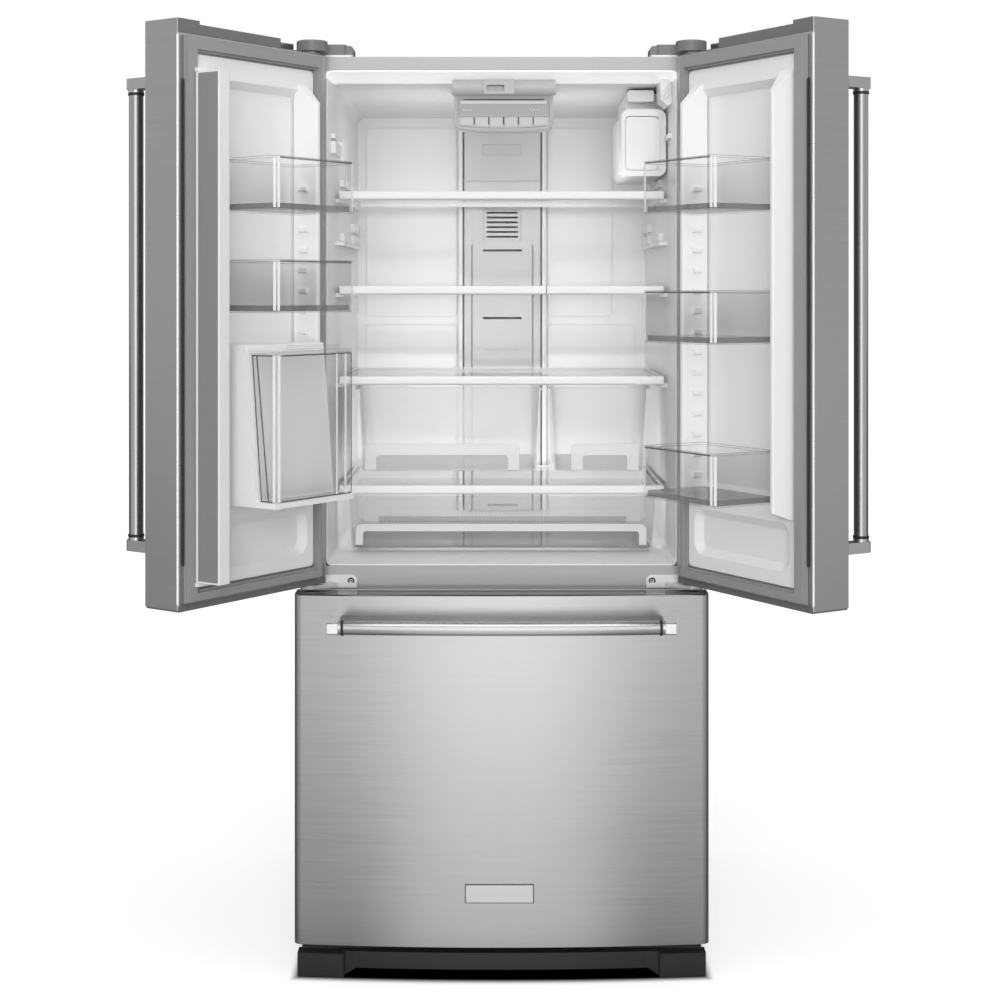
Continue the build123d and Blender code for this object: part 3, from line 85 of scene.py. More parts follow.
def front_y(x):
    """The bowed front of the doors and the drawer."""
    return FRONT_Y_MID + FRONT_R - math.sqrt(FRONT_R**2 - x**2)


def on_panel(x, y, lift):
    """A point on the sloped control face: x and y along it from its middle, lift out of it."""
    middle_y = PANEL_TOP_Y + (PANEL_TOP_Z - PANEL_MID_Z) * math.tan(PANEL_TILT)
    return row(PANEL_X + x, middle_y - y * math.sin(PANEL_TILT) - lift * math.cos(PANEL_TILT),
               PANEL_MID_Z + y * math.cos(PANEL_TILT) - lift * math.sin(PANEL_TILT))


# ---- materials ----
def graph(tree):
    """Gives the function that adds a node and feeds its sockets with numbers or links."""
    def add(kind, *inputs, **settings):
        node = tree.nodes.new("ShaderNode" + kind)
        for key, value in settings.items():
            setattr(node, key, value)
        for socket, value in zip(node.inputs, inputs):
            if isinstance(value, bpy.types.NodeSocket):
                tree.links.new(value, socket)
            elif value is not None:
                socket.default_value = value
        return node.outputs[0]
    return add


def mixed(tree, amount, color_a, color_b):
    """Links a mix of two colours, by amount, to the shader's base colour."""
    tone = tree.nodes.new("ShaderNodeMix")
    tone.data_type = "RGBA"
    tone.inputs["A"].default_value = (*color_a, 1.0)
    tone.inputs["B"].default_value = (*color_b, 1.0)
    tree.links.new(amount, tone.inputs["Factor"])
    tree.links.new(tone.outputs["Result"], tree.nodes["Principled BSDF"].inputs["Base Color"])


EVEN = (1.0, 1.0, 1.0)
STREAKS = (1.5, 1.5, 110.0)
FINE_STREAKS = (900.0, 900.0, 6.0)
NOISE_LOW, NOISE_HIGH = 0.3, 0.7


def surface(name, color, roughness, metallic=0.0, grain=EVEN, scale=500.0, depth=0.00002, span=0.05,
            soft_edge=0.0006, wear=0.0):
    """Principled surface with grain in its roughness, relief and tone, and with softened edges."""
    mat = bpy.data.materials.new(name)
    mat.use_nodes = True
    tree = mat.node_tree
    add = graph(tree)
    shader = tree.nodes["Principled BSDF"]
    shader.inputs["Base Color"].default_value = (*color, 1.0)
    shader.inputs["Metallic"].default_value = metallic
    mapping = tree.nodes.new("ShaderNodeMapping")
    mapping.inputs["Scale"].default_value = grain
    tree.links.new(tree.nodes.new("ShaderNodeTexCoord").outputs["Object"], mapping.inputs["Vector"])
    noise = tree.nodes.new("ShaderNodeTexNoise")
    noise.inputs["Scale"].default_value = scale
    noise.inputs["Detail"].default_value = 4.0
    tree.links.new(mapping.outputs["Vector"], noise.inputs["Vector"])
    grains = noise.outputs["Fac"]
    rough = add("MapRange", grains, NOISE_LOW, NOISE_HIGH, max(roughness - span, 0.0), roughness + span)
    tree.links.new(rough, shader.inputs["Roughness"])
    normal = None
    if soft_edge:
        normal = add("Bevel", soft_edge, samples=4)
    if depth:
        bump = tree.nodes.new("ShaderNodeBump")
        bump.inputs["Strength"].default_value = 0.5
        bump.inputs["Distance"].default_value = depth
        tree.links.new(grains, bump.inputs["Height"])
        if normal:
            tree.links.new(normal, bump.inputs["Normal"])
        normal = bump.outputs["Normal"]
    if normal:
        tree.links.new(normal, shader.inputs["Normal"])
    if wear:
        mixed(tree, grains, [c * (1 - wear) for c in color], [min(c * (1 + wear), 1.0) for c in color])
    return mat


def clear(name, color, edge_color, veil, aslant, rim, roughness=0.06, depth=0.00001, edge_width=0.0015):
    """Clear plastic or glass: a faint veil, thicker when seen aslant, with painted shade on its edges: they
    are drawn darker in edge_color, for the dark that thick clear edges show as they bend the light.
    """
    mat = surface(name, color, roughness, scale=90.0, depth=depth, span=0.03, soft_edge=0.0)
    tree = mat.node_tree
    add = graph(tree)
    edge = add("Bevel", edge_width, samples=4)
    shape = tree.nodes.new("ShaderNodeNewGeometry").outputs["True Normal"]
    agree = add("VectorMath", edge, shape, operation="DOT_PRODUCT").node.outputs["Value"]
    # Painted shade: border marks the edges, which are drawn thicker and darker, as thick clear edges look
    # where they bend the light.
    border = add("MapRange", agree, 0.99, 0.80, 0.0, 1.0)
    facing = add("LayerWeight", 0.30).node.outputs["Facing"]
    body = add("MapRange", facing, 0.30, 1.0, veil, aslant)
    amount = add("Math", body, add("Math", border, rim, operation="MULTIPLY"), operation="MAXIMUM")
    path = tree.nodes.new("ShaderNodeLightPath")
    indirect = add("Math", path.outputs["Is Shadow Ray"], path.outputs["Is Diffuse Ray"], operation="MAXIMUM")
    passing = add("Math", 1.0, add("Math", indirect, 0.9, operation="MULTIPLY"), operation="SUBTRACT")
    alpha = add("Math", amount, passing, operation="MULTIPLY")
    tree.links.new(alpha, tree.nodes["Principled BSDF"].inputs["Alpha"])
    # Painted shade on the edges, in edge_color.
    if edge_color != color:
        mixed(tree, border, color, edge_color)
    return mat


def zone(mat, axis, middle, half, color):
    """Another colour where a piece lies farther than half from middle along one axis, in metres."""
    tree = mat.node_tree
    add = graph(tree)
    split = add("SeparateXYZ", tree.nodes.new("ShaderNodeTexCoord").outputs["Object"]).node
    off = add("Math", add("Math", split.outputs[axis], middle, operation="SUBTRACT"), operation="ABSOLUTE")
    outside = add("Math", off, half, operation="GREATER_THAN")
    inner_color = tree.nodes["Principled BSDF"].inputs["Base Color"].default_value[:3]
    mixed(tree, outside, inner_color, color)


# Painted light: where the liner's ceiling glows just inside its mouth, and how strong the glow is.
MOUTH_Y, MOUTH_Z, MOUTH_GLOW = 100.0, 1.627, 0.38


def mouth_painted_glow(mat):
    """Painted light: a glow on the band of the liner's ceiling just inside its mouth, as if a lamp lit it."""
    tree = mat.node_tree
    add = graph(tree)
    shader = tree.nodes["Principled BSDF"]
    split = add("SeparateXYZ", tree.nodes.new("ShaderNodeTexCoord").outputs["Object"]).node
    ahead = add("Math", split.outputs["Y"], (MOUTH_Y - ORIGIN_Y) / 1000, operation="LESS_THAN")
    high = add("Math", split.outputs["Z"], MOUTH_Z, operation="GREATER_THAN")
    glow = add("Math", add("Math", ahead, high, operation="MULTIPLY"), MOUTH_GLOW, operation="MULTIPLY")
    shader.inputs["Emission Color"].default_value = (1.0, 1.0, 1.0, 1.0)
    tree.links.new(glow, shader.inputs["Emission Strength"])


def grey(value):
    return (value, value, value)


def warm(value, less=0.005):
    """A grey with a little less blue."""
    return (value, value, value - less)


def smoke(value):
    """A grey with a little more blue, for clear plastic."""
    return (value, value + 0.002, value + 0.005)


def faint_smoke(value):
    """A grey with a very little more blue."""
    return (value, value + 0.001, value + 0.003)


# One look for each material slot of the record.
SURFACES = {
    "stainless": dict(color=(0.56, 0.558, 0.555), roughness=0.30, metallic=1.0, grain=STREAKS, scale=4.0,
                      depth=0.0, span=0.03, wear=0.07),
    "cabinet_paint": dict(color=grey(0.46), roughness=0.45, scale=900.0, depth=0.00006),
    "rail_paint": dict(color=warm(0.40), roughness=0.35, metallic=0.3, grain=STREAKS, scale=4.0,
                       depth=0.000004, span=0.06),
    "liner_white": dict(color=warm(0.86), roughness=0.32),
    "door_liner_white": dict(color=warm(0.84), roughness=0.32),
    "gasket_grey": dict(color=warm(0.30, 0.003), roughness=0.62, scale=700.0, depth=0.00004, span=0.06),
    "cap_grey": dict(color=grey(0.155), roughness=0.35, scale=900.0, depth=0.00005, span=0.06),
    "chrome": dict(color=grey(0.66), roughness=0.16, metallic=1.0, scale=200.0, depth=0.00001, span=0.04,
                   soft_edge=0.0012),
    "handle_steel": dict(color=(0.53, 0.527, 0.524), roughness=0.22, metallic=1.0, grain=FINE_STREAKS,
                         scale=1.0, depth=0.00001, span=0.06),
    "frame_white": dict(color=warm(0.84, 0.01), roughness=0.28, scale=600.0),
    "tower_white": dict(color=grey(0.66), roughness=0.38, scale=600.0, depth=0.00003),
    "panel_grey": dict(color=smoke(0.45), roughness=0.30, scale=600.0),
    "key_white": dict(color=grey(0.64), roughness=0.35, scale=700.0),
    "filter_white": dict(color=warm(0.84), roughness=0.34, scale=600.0),
    "grille_dark": dict(color=(0.025, 0.025, 0.027), roughness=0.38, scale=900.0, depth=0.00006, span=0.08),
    "hinge_dark": dict(color=(0.17, 0.17, 0.172), roughness=0.40, scale=900.0, depth=0.00004, span=0.06,
                       soft_edge=0.001),
    "hinge_steel": dict(color=warm(0.70), roughness=0.34, metallic=0.3, scale=60.0, depth=0.0, span=0.03,
                        soft_edge=0.0),
    "galvanised": dict(color=(0.50, 0.51, 0.52), roughness=0.40, metallic=1.0, scale=60.0, depth=0.00003,
                       span=0.12, wear=0.12),
    "black_paint": dict(color=grey(0.02), roughness=0.30, depth=0.00005, span=0.08),
    "coil": dict(color=grey(0.70), roughness=0.35, metallic=1.0, scale=300.0, span=0.08),
    "slide_zinc": dict(color=(0.60, 0.60, 0.61), roughness=0.34, metallic=1.0, scale=300.0, span=0.08),
    "basket_white": dict(color=warm(0.84, 0.01), roughness=0.36, depth=0.00003),
    "foam": dict(color=(0.80, 0.79, 0.74), roughness=0.85, scale=400.0, depth=0.0002),
    "roller_black": dict(color=grey(0.04), roughness=0.55, scale=600.0, depth=0.00005, span=0.06),
    "flap_grey": dict(color=warm(0.80), roughness=0.34),
}
MATERIALS = {slot: surface(slot, **look) for slot, look in SURFACES.items()}
MATERIALS["glass"] = clear("glass", (0.62, 0.66, 0.65), (0.50, 0.54, 0.53), 0.01, 0.40, 0.40, 0.04, 0.0)
MATERIALS["clear_plastic"] = clear("clear_plastic", smoke(0.68), faint_smoke(0.12), 0.02, 0.30, 0.75,
                                   edge_width=0.0022)
MATERIALS["pitcher_clear"] = clear("pitcher_clear", smoke(0.74), faint_smoke(0.20), 0.02, 0.30, 0.60)
zone(MATERIALS["tower_white"], "X", 0.002, 0.0836, warm(0.84))
zone(MATERIALS["panel_grey"], "Z", 1.5840, 0.0210, grey(0.62))
mouth_painted_glow(MATERIALS["liner_white"])

# Looks of the added pieces, and of the nodes whose slot isn't enough.
# Painted shade for the darker floors of the clear door bins and the pantry drawer.
DARK_FLOOR_SHADE = clear("painted_floor_shade", (0.20, 0.203, 0.206), faint_smoke(0.12), 0.45, 0.85, 0.85)
CRISPER_CLEAR = clear("crisper_clear", smoke(0.92), faint_smoke(0.20), 0.20, 0.45, 0.55)
PANTRY_CLEAR = clear("pantry_clear", smoke(0.80), faint_smoke(0.35), 0.02, 0.35, 0.30)
# Painted shade for the darker floors of the crisper drawers.
CRISPER_FLOOR_SHADE = clear("crisper_floor_painted_shade", smoke(0.34), faint_smoke(0.20), 0.22, 0.40, 0.60)
# Painted highlights, and painted dark lines, for where clear plastic bends the light.
PAINTED_GLINT = clear("painted_edge_glint", grey(0.88), grey(0.88), 0.70, 0.85, 0.75)
RIM_SHADE_LINE = clear("painted_rim_shade", grey(0.12), grey(0.12), 0.62, 0.80, 0.70)
GRIP_WHITE = clear("grip_frost", grey(0.84), grey(0.84), 0.55, 0.80, 0.70)
DRAWER_CAP = surface("drawer_cap_grey", grey(0.08), 0.12, scale=900.0, depth=0.00001, span=0.03)
# Painted highlight for the doors' folds.
FOLD_HIGHLIGHT = surface("painted_fold_highlight", warm(0.86), 0.30, 0.2, STREAKS, 4.0, 0.0, soft_edge=0.0)
# Painted shade: near black for the dark outline round the drawer's badge.
BADGE_OUTLINE_SHADE = surface("badge_outline_shade", grey(0.10), 0.35, 0.5, scale=300.0, depth=0.00001)
BADGE_FACE = surface("badge_face", warm(0.70), 0.34, 0.9, STREAKS, 4.0, 0.000001, 0.04)
HOUSING_WHITE = surface("housing_white", grey(0.50), 0.34, scale=600.0)
# Near black for painted shade in gaps, recesses and joints, and on the gasket's outer side.
PAINTED_SHADE_DARK = surface("painted_shade_dark", grey(0.03), 0.5, depth=0.00001)
PLATE_METAL = surface("flap_plate_paint", grey(0.30), 0.42, 0.35, STREAKS, 1.0, span=0.06)
BLACK_RUBBER = surface("collar_black", grey(0.02), 0.45, scale=600.0, depth=0.00003, span=0.06)
INDICATOR = surface("indicator_white", grey(0.75), 0.35, depth=0.00001)

SLOT_OF = {part["node"]: part["material_slot"] for part in frame["record"]["subparts"]}
SPECIAL = {"crisper_left": CRISPER_CLEAR, "crisper_right": CRISPER_CLEAR, "pantry_drawer": PANTRY_CLEAR,
           "freezer_front_caps": DRAWER_CAP, "control_housing": HOUSING_WHITE}
for name, node in NODES.items():
    node.data.materials.clear()
    node.data.materials.append(SPECIAL.get(name, MATERIALS[SLOT_OF[name]]))


# ---- pieces added over the CAD ----
def piece(name, bm, mat, body):
    """Makes an object of a bmesh, riding on a CAD body."""
    bmesh.ops.recalc_face_normals(bm, faces=bm.faces)
    mesh = bpy.data.meshes.new(name)
    bm.to_mesh(mesh)
    bm.free()
    mesh.materials.append(mat)
    obj = bpy.data.objects.new(name, mesh)
    bpy.context.scene.collection.objects.link(obj)
    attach(obj, body)
    return obj


def slabs(name, outlines, ends, mat, body, slot, bevel=0.0):
    """Closed slabs. Each outline is a loop of points, and ends places one at the low (0) or high (1) end."""
    bm = bmesh.new()
    for outline in outlines:
        low = [bm.verts.new(ends(p, 0)) for p in outline]
        high = [bm.verts.new(ends(p, 1)) for p in outline]
        bm.faces.new(list(reversed(low)))
        bm.faces.new(high)
        for i in range(len(outline)):
            j = (i + 1) % len(outline)
            bm.faces.new((low[i], low[j], high[j], high[i]))
    obj = piece(name, bm, mat, body)
    if bevel:
        soften = obj.modifiers.new("soft edges", "BEVEL")
        soften.width = bevel
        soften.segments = 2
        soften.limit_method = "ANGLE"


def slab(name, outline, *rest, **options):
    slabs(name, [outline], *rest, **options)


def lathe(name, profile, place, mat, body, count=32):
    """A turned ring. Its profile is a loop of (radius, along) points, and place sets one in the row frame."""
    bm = bmesh.new()
    rings = []
    for index in range(count):
        angle = 2 * math.pi * index / count
        rings.append([bm.verts.new(place(r * math.cos(angle), r * math.sin(angle), a)) for r, a in profile])
    for index in range(count):
        here, after = rings[index], rings[(index + 1) % count]
        for k in range(len(profile)):
            m = (k + 1) % len(profile)
            bm.faces.new((here[k], after[k], after[m], here[m]))
    for face in piece(name, bm, mat, body).data.polygons:
        face.use_smooth = True


def strip(a0, a1, b0, b1):
    """Loop of points round an upright or level strip."""
    return [(a0, b0), (a1, b0), (a1, b1), (a0, b1)]


def arc(cx, cy, radius, start, turn, steps):
    """Points along an arc, in degrees."""
    angles = [math.radians(start + turn * step / steps) for step in range(steps + 1)]
    return [(cx + radius * math.cos(angle), cy + radius * math.sin(angle)) for angle in angles]


def rounded(x0, x1, y0, y1, radius, steps=5):
    """Loop of points round a rectangle with rounded corners."""
    loop = []
    for cx, cy, start in ((x1 - radius, y1 - radius, 0), (x0 + radius, y1 - radius, 90),
                          (x0 + radius, y0 + radius, 180), (x1 - radius, y0 + radius, 270)):
        loop += arc(cx, cy, radius, start, 90, steps)
    return loop


SUNK = 0.25


def round_edge(x, y, radius, proud, side):
    """Places (angle, height) points round an upright corner of a door, from SUNK in it to proud of it."""
    def at(point, end):
        angle, reach = math.radians(point[0]), radius + proud * end - SUNK
        return turned(x + reach * math.cos(angle), y + reach * math.sin(angle), point[1], side)
    return at


def bin_floor_shades():
    """Painted shade: dark see-through slabs on the floors of the clear door bins, for their darker look."""
    inset, back_inset, corner, thickness = 5.4, 8.4, 6, 9.5
    outline = rounded(BIN_U0 + inset - HINGE_X, BIN_U1 - inset - HINGE_X, INNER_Y + back_inset,
                      INNER_Y + BIN_DEPTH - inset, corner)
    for side, bins in BINS.items():
        for index, (z, _) in enumerate(bins):
            def ends(point, end, side=side, z=z):
                return turned(*point, z + BIN_FLOOR + thickness * end, side)
            slab(f"bin_floor_shade_{side}_{index + 1}", outline, ends, DARK_FLOOR_SHADE, f"{side}_door", "clear_plastic",
                 bevel=0.0006)


def bin_edges():
    """Painted highlights on the bright corners and painted shade on the dark rim lines, where the clear bins
    bend the light.
    """
    front = INNER_Y + BIN_DEPTH
    corners = (("free", BIN_U1 - BIN_CORNER - HINGE_X, 0), ("hinge", BIN_U0 + BIN_CORNER - HINGE_X, 90))
    glints = ((8, 38), (52, 82))
    for side, bins in BINS.items():
        for index, (z0, z1) in enumerate(bins):
            for corner, x, start in corners:
                at = round_edge(x, front - BIN_CORNER, BIN_CORNER, 0.5, side)
                lines = [strip(start + first, start + last, z0 + 4, z1 - 4) for first, last in glints]
                slabs(f"bin_glint_{side}_{index + 1}_{corner}", lines, at, PAINTED_GLINT, f"{side}_door",
                      "clear_plastic")

            def ends(point, end, side=side):
                return turned(point[0], front - 0.3 + 0.7 * end, point[1], side)
            rim = strip(BIN_U0 + 8 - HINGE_X, BIN_U1 - 8 - HINGE_X, z1 - 4.2, z1 - 1.6)
            slab(f"bin_rim_{side}_{index + 1}", rim, ends, RIM_SHADE_LINE, f"{side}_door", "clear_plastic")


def pitcher_edges():
    """Painted highlights and painted dark lines along the edges of the clear pitcher, where it bends the
    light.
    """
    free_x, front = BIN_U1 - HINGE_X, INNER_Y + BIN_DEPTH
    low, high = PITCHER_Z0, PITCHER_Z1
    corner = round_edge(free_x - PITCHER_CORNER, front - PITCHER_CORNER, PITCHER_CORNER, 0.5, "left")

    def on_front(point, end):
        return turned(point[0] - HINGE_X, front - 0.3 + 0.6 * end, point[1], "left")

    def on_side(point, end):
        return turned(free_x - 0.3 + 0.6 * end, INNER_Y + point[0], point[1], "left")

    def level(a0, a1, z):
        return strip(a0, a1, z - 1.5, z + 1)

    def leaning(top, bottom):
        """A 2.5 mm wide line that leans forward as it goes down."""
        return [(top, high), (top + 2.5, high), (bottom + 2.5, low), (bottom, low)]

    groups = (
        ("pitcher_corner_glint", corner, PAINTED_GLINT, [strip(6, 34, low, high), strip(54, 84, low, high)]),
        ("pitcher_front_glint", on_front, PAINTED_GLINT, [strip(84, 88, low, high), strip(107, 111, low, high)]),
        ("pitcher_front_lines", on_front, RIM_SHADE_LINE, [level(72, 250, high), level(72, 250, low),
                                                     strip(70, 72, low, high)]),
        ("pitcher_side_lines", on_side, RIM_SHADE_LINE, [leaning(82, 102.5), leaning(92, 118.5),
                                                   level(82, 128, high), level(103, 128, low)]),
    )
    for name, ends, mat, lines in groups:
        slabs(name, lines, ends, mat, "jug", "pitcher_clear")


def door_folds():
    """Painted highlight on the fold where each door's wrap turns into its inner flange."""
    for side in ("left", "right"):
        at = round_edge(DOOR_FREE_X - DOOR_FOLD_R, INNER_Y - DOOR_FOLD_R, DOOR_FOLD_R, 0.35, side)
        fold = strip(27, 68, DOOR_Z0, DOOR_Z1)
        slab(f"{side}_door_fold", fold, at, FOLD_HIGHLIGHT, f"{side}_door", "stainless")


def flap_plate():
    """Metal plate on the flap's face."""
    outline = rounded(8.4, INNER_Y + FLAP_DEPTH - 2.4, FLAP_Z0 + 3.0, FLAP_Z1 - 3.0, 1.0, 2)

    def ends(point, end):
        return turned(FLAP_X - 0.9 + 1.05 * end, point[0], point[1], "left")
    slab("flap_plate", outline, ends, PLATE_METAL, "flap", "flap_grey", bevel=0.0002)


def gasket_shadow_strips():
    """Painted shadow: a dark strip on the outer side of each door gasket, along its free edge, where shade
    falls on its fold.
    """
    fold = [(INNER_Y + 0.3, 778.0), (INNER_Y + 4.0, 782.0), (INNER_Y + 4.0, 1585.0), (INNER_Y + 0.3, 1589.0)]
    for side in ("left", "right"):
        def ends(point, end, side=side):
            return turned(GASKET_X - 0.3 + 0.8 * end, point[0], point[1], side)
        slab(f"{side}_gasket_shadow", fold, ends, PAINTED_SHADE_DARK, f"{side}_door", "gasket_grey")


def drawer_top_shade():
    """Painted shade: a dark line in the joint along the drawer's top front edge."""
    half, steps, half_height = 368, 16, 1.1
    across = [-half + 2 * half / steps * k for k in range(steps + 1)]
    loop = [(x, DRAWER_TOP_Z + half_height) for x in across]
    loop += [(x, DRAWER_TOP_Z - half_height) for x in reversed(across)]

    def ends(point, end):
        return row(point[0], front_y(point[0]) - 0.3 + 2.4 * end, point[1])
    slab("drawer_top_shade_line", loop, ends, PAINTED_SHADE_DARK, "freezer_drawer", "cap_grey")


def hinge_screws():
    """Painted shade: a dark ring in the recess round the big screw in each centre hinge, and a dark dot in
    its middle.
    """
    ring = [(3.4, 0.0), (6.3, 0.0), (6.3, 0.5), (3.4, 0.5)]
    dot = [(0.05, 0.0), (1.6, 0.0), (1.6, 0.6), (0.05, 0.6)]
    screw_x, screw_y, screw_z = HINGE_SCREW
    for side, sign in (("left", -1), ("right", 1)):
        def place(a, b, out, sign=sign):
            return row(sign * screw_x + a, screw_y - out, screw_z + b)
        lathe(f"{side}_hinge_screw_ring", ring, place, PAINTED_SHADE_DARK, "cabinet")
        lathe(f"{side}_hinge_screw_dot", dot, place, PAINTED_SHADE_DARK, "cabinet", 12)


def drawer_badge():
    """Bare badge plate with a raised rim, following the drawer's bow."""
    def standing(foot, top):
        def ends(point, end):
            return row(point[0], front_y(point[0]) - (top if end else foot), point[1])
        return ends
    x0, x1, z0, z1 = BADGE
    inset = 1.6
    rim = rounded(x0, x1, z0, z1, 2.0, 3)
    # The rim is painted near black, as painted shade for the dark outline round the badge.
    slab("badge_rim", rim, standing(-0.6, 2.4), BADGE_OUTLINE_SHADE, "freezer_drawer", "chrome", bevel=0.0006)
    field = rounded(x0 + inset, x1 - inset, z0 + inset, z1 - inset, 1.5, 3)
    slab("badge_field", field, standing(2.2, 3.0), BADGE_FACE, "freezer_drawer", "handle_steel", bevel=0.0005)


def drawer_floor_shades():
    """Painted shade: dark see-through slabs on the clear drawers' floors, for the dark they show seen aslant:
    each drawer's sides, the height of its floor and its shade material.
    """
    floors = {"left_crisper": (-275.0, 73.0, 889.0, CRISPER_FLOOR_SHADE),
              "right_crisper": (97.0, 280.0, 889.0, CRISPER_FLOOR_SHADE),
              "pantry": (-296.0, 298.0, 738.0, DARK_FLOOR_SHADE)}
    front, back, inset = 149.0, 460.0, 10.0
    for body, (x0, x1, z, shade_mat) in floors.items():
        def ends(point, end, z=z):
            return row(*point, z + 2.8 + 0.6 * end)
        outline = rounded(x0 + inset, x1 - inset, front, back, 14.0)
        slab(f"{body}_floor", outline, ends, shade_mat, body, "clear_plastic")


def grip_faces():
    """Frosted arch on each clear drawer's grip: its sides, foot, top, leg width, underside and corner."""
    grips = {"left_crisper": (-262.0, 34.0, 892.0, 941.0, 22.0, 920.0, 6.0),
             "right_crisper": (134.0, 263.0, 892.0, 941.0, 22.0, 920.0, 6.0),
             "pantry": (-280.0, 278.0, 748.0, 788.0, 14.0, 774.0, 12.0)}
    chamfer = 4

    def ends(point, end):
        return row(point[0], GRIP_FRONT_Y + 0.5 * end, point[1])
    for body, (x0, x1, z0, z1, leg, under, corner) in grips.items():
        in0, in1 = x0 + leg, x1 - leg
        arch = [(x0, z0)] + arc(x0 + corner, z1 - corner, corner, 180, -90, 5)
        arch += arc(x1 - corner, z1 - corner, corner, 90, -90, 5)
        arch += [(x1, z0), (in1, z0), (in1, under - chamfer), (in1 - chamfer, under), (in0 + chamfer, under),
                 (in0, under - chamfer), (in0, z0)]
        slab(f"{body}_grip_face", arch, ends, GRIP_WHITE, body, "clear_plastic", bevel=0.0002)


def handle_collars():
    """Black collars where the handle bars enter their mounts."""
    ring = [(12.35, -2.2), (13.4, -2.2), (13.9, -1.4), (13.9, 1.4), (13.4, 2.2), (12.35, 2.2)]
    bar_y = front_y(BAR_X) - BAR_STAND
    low, high = BAR_ENDS
    for side in ("left", "right"):
        for end, z in (("low", low + COLLAR_IN), ("high", high - COLLAR_IN)):
            def place(a, b, along, side=side, z=z):
                return turned(BAR_X + a, bar_y + b, z + along, side)
            lathe(f"{side}_handle_collar_{end}", ring, place, BLACK_RUBBER, f"{side}_door")
    for end, sign in (("left", -1), ("right", 1)):
        def place(a, b, along, x=sign * (DRAWER_BAR_END - COLLAR_IN)):
            return row(x + along, front_y(x + along) - DRAWER_BAR_STAND + a, DRAWER_BAR_Z + b)
        lathe(f"freezer_handle_collar_{end}", ring, place, BLACK_RUBBER, "freezer_drawer")


def panel_lights():
    """Painted shade in the gaps between the keys and in the gap over the panel; the panel's light strip; and
    two groups of indicator dots.
    """
    def lifted(foot, height):
        return lambda point, end: on_panel(*point, foot + height * end)
    # Painted shade: dark slabs in the gaps between the keys and over the panel.
    gaps = [strip(KEY_PITCH * k - 0.9, KEY_PITCH * k + 0.9, -19.0, -5.5) for k in range(-2, 3)]
    slabs("panel_key_gaps", gaps, lifted(-1.7, 1.8), PAINTED_SHADE_DARK, "cabinet", "panel_grey")
    slab("panel_top_gap", rounded(-76, 76, 26.6, 28.4, 0.6, 3), lifted(-0.8, 1.0), PAINTED_SHADE_DARK, "cabinet",
         "panel_grey", bevel=0.0001)
    slab("panel_light_strip", rounded(-81.5, 81.5, 19.8, 26.2, 1.5, 3), lifted(-0.8, 1.2), INDICATOR,
         "cabinet", "key_white", bevel=0.0004)
    for index, x in enumerate((-74.8, -68.6, -62.4, 50.6, 57.0, 64.0)):
        dot = rounded(x - 1.5, x + 1.5, 6.8, 9.8, 1.45, 4)
        slab(f"panel_dot_{index + 1}", dot, lifted(-1.7, 0.6), INDICATOR, "cabinet", "key_white",
             bevel=0.0001)


bin_floor_shades()
bin_edges()
pitcher_edges()
door_folds()
flap_plate()
gasket_shadow_strips()
drawer_top_shade()
hinge_screws()
drawer_badge()
drawer_floor_shades()
grip_faces()
handle_collars()
panel_lights()

# ---- floor, light and camera, in metres in the row frame ----
FLOOR_HALF, FLOOR_GREY = 40.0, 0.55
# The floor glows for the camera: its level near the object and far from it, and those two distances.
GLOW_NEAR, GLOW_FAR, GLOW_REACH = 0.64, 0.78, (0.5, 2.0)
# A painted shadow under the object: the dark ends between these two places on its sides, front and back.
# Its front edge is bowed.
SHADE_SIDE, SHADE_FRONT, SHADE_BACK, SHADE_BOW = (0.362, 0.385), (-0.242, -0.270), (0.47, 0.50), 0.12
# What the metal mirrors of the floor: brightness across, in widths of a band that spreads forward, and along.
BAND_Y, BAND_LEAST, BAND_HALF, BAND_SPREAD = -0.25, 0.02, 0.374, 0.33
FLOOR_ACROSS = ((0.0, 1.0), (0.30, 0.96), (0.75, 0.43), (1.0, 0.50), (1.6, 0.38))
FLOOR_ALONG = ((0.0, 0.25), (0.10, 0.55), (0.25, 0.83), (0.6, 0.91), (1.5, 1.19), (2.8, 1.62), (4.0, 1.70),
               (5.0, 1.66))
# What it mirrors of the studio: by the angle round from the front, in radians, and by height.
SKY_ROUND = ((0.0, 1.75), (0.14, 1.60), (0.42, 0.62), (1.40, 0.48), (1.75, 0.80), (2.3, 0.10))
SKY_UP = ((0.0, 1.0), (0.45, 1.0), (0.9, 0.35))
AMBIENT = 0.50
WHITE = (1.0, 1.0, 1.0, 1.0)


def curve(add, value, stops, top):
    """Smooth curve through (place, height) stops, over places from 0 to top."""
    smooth = add("ValToRGB", add("Math", value, top, operation="DIVIDE"))
    ramp = smooth.node.color_ramp
    ramp.interpolation = "EASE"
    while len(ramp.elements) < len(stops):
        ramp.elements.new(0.5)
    for element, (place, height) in zip(ramp.elements, stops):
        element.position = place / top
        element.color = (height, height, height, 1.0)
    return smooth


def by_ray(tree, add):
    """Whether the camera sees a place, straight or through clear things, and whether it is mirrored."""
    path = tree.nodes.new("ShaderNodeLightPath")
    seen = add("Math", path.outputs["Is Camera Ray"], path.outputs["Is Transmission Ray"],
               operation="MAXIMUM")
    return seen, path.outputs["Is Glossy Ray"]


def outside_painted_shadow(add, side, y):
    """Painted shadow mask: 0 under the object, where the floor is painted dark, and 1 on the open floor."""
    free = add("MapRange", side, *SHADE_SIDE, 0.0, 1.0, interpolation_type="SMOOTHSTEP")
    bowed = add("Math", add("Math", side, 2.0, operation="POWER"), -SHADE_BOW, y, operation="MULTIPLY_ADD")
    for place, limits in ((bowed, SHADE_FRONT), (y, SHADE_BACK)):
        edge = add("MapRange", place, *limits, 0.0, 1.0, interpolation_type="SMOOTHSTEP")
        free = add("Math", free, edge, operation="MAXIMUM")
    return free


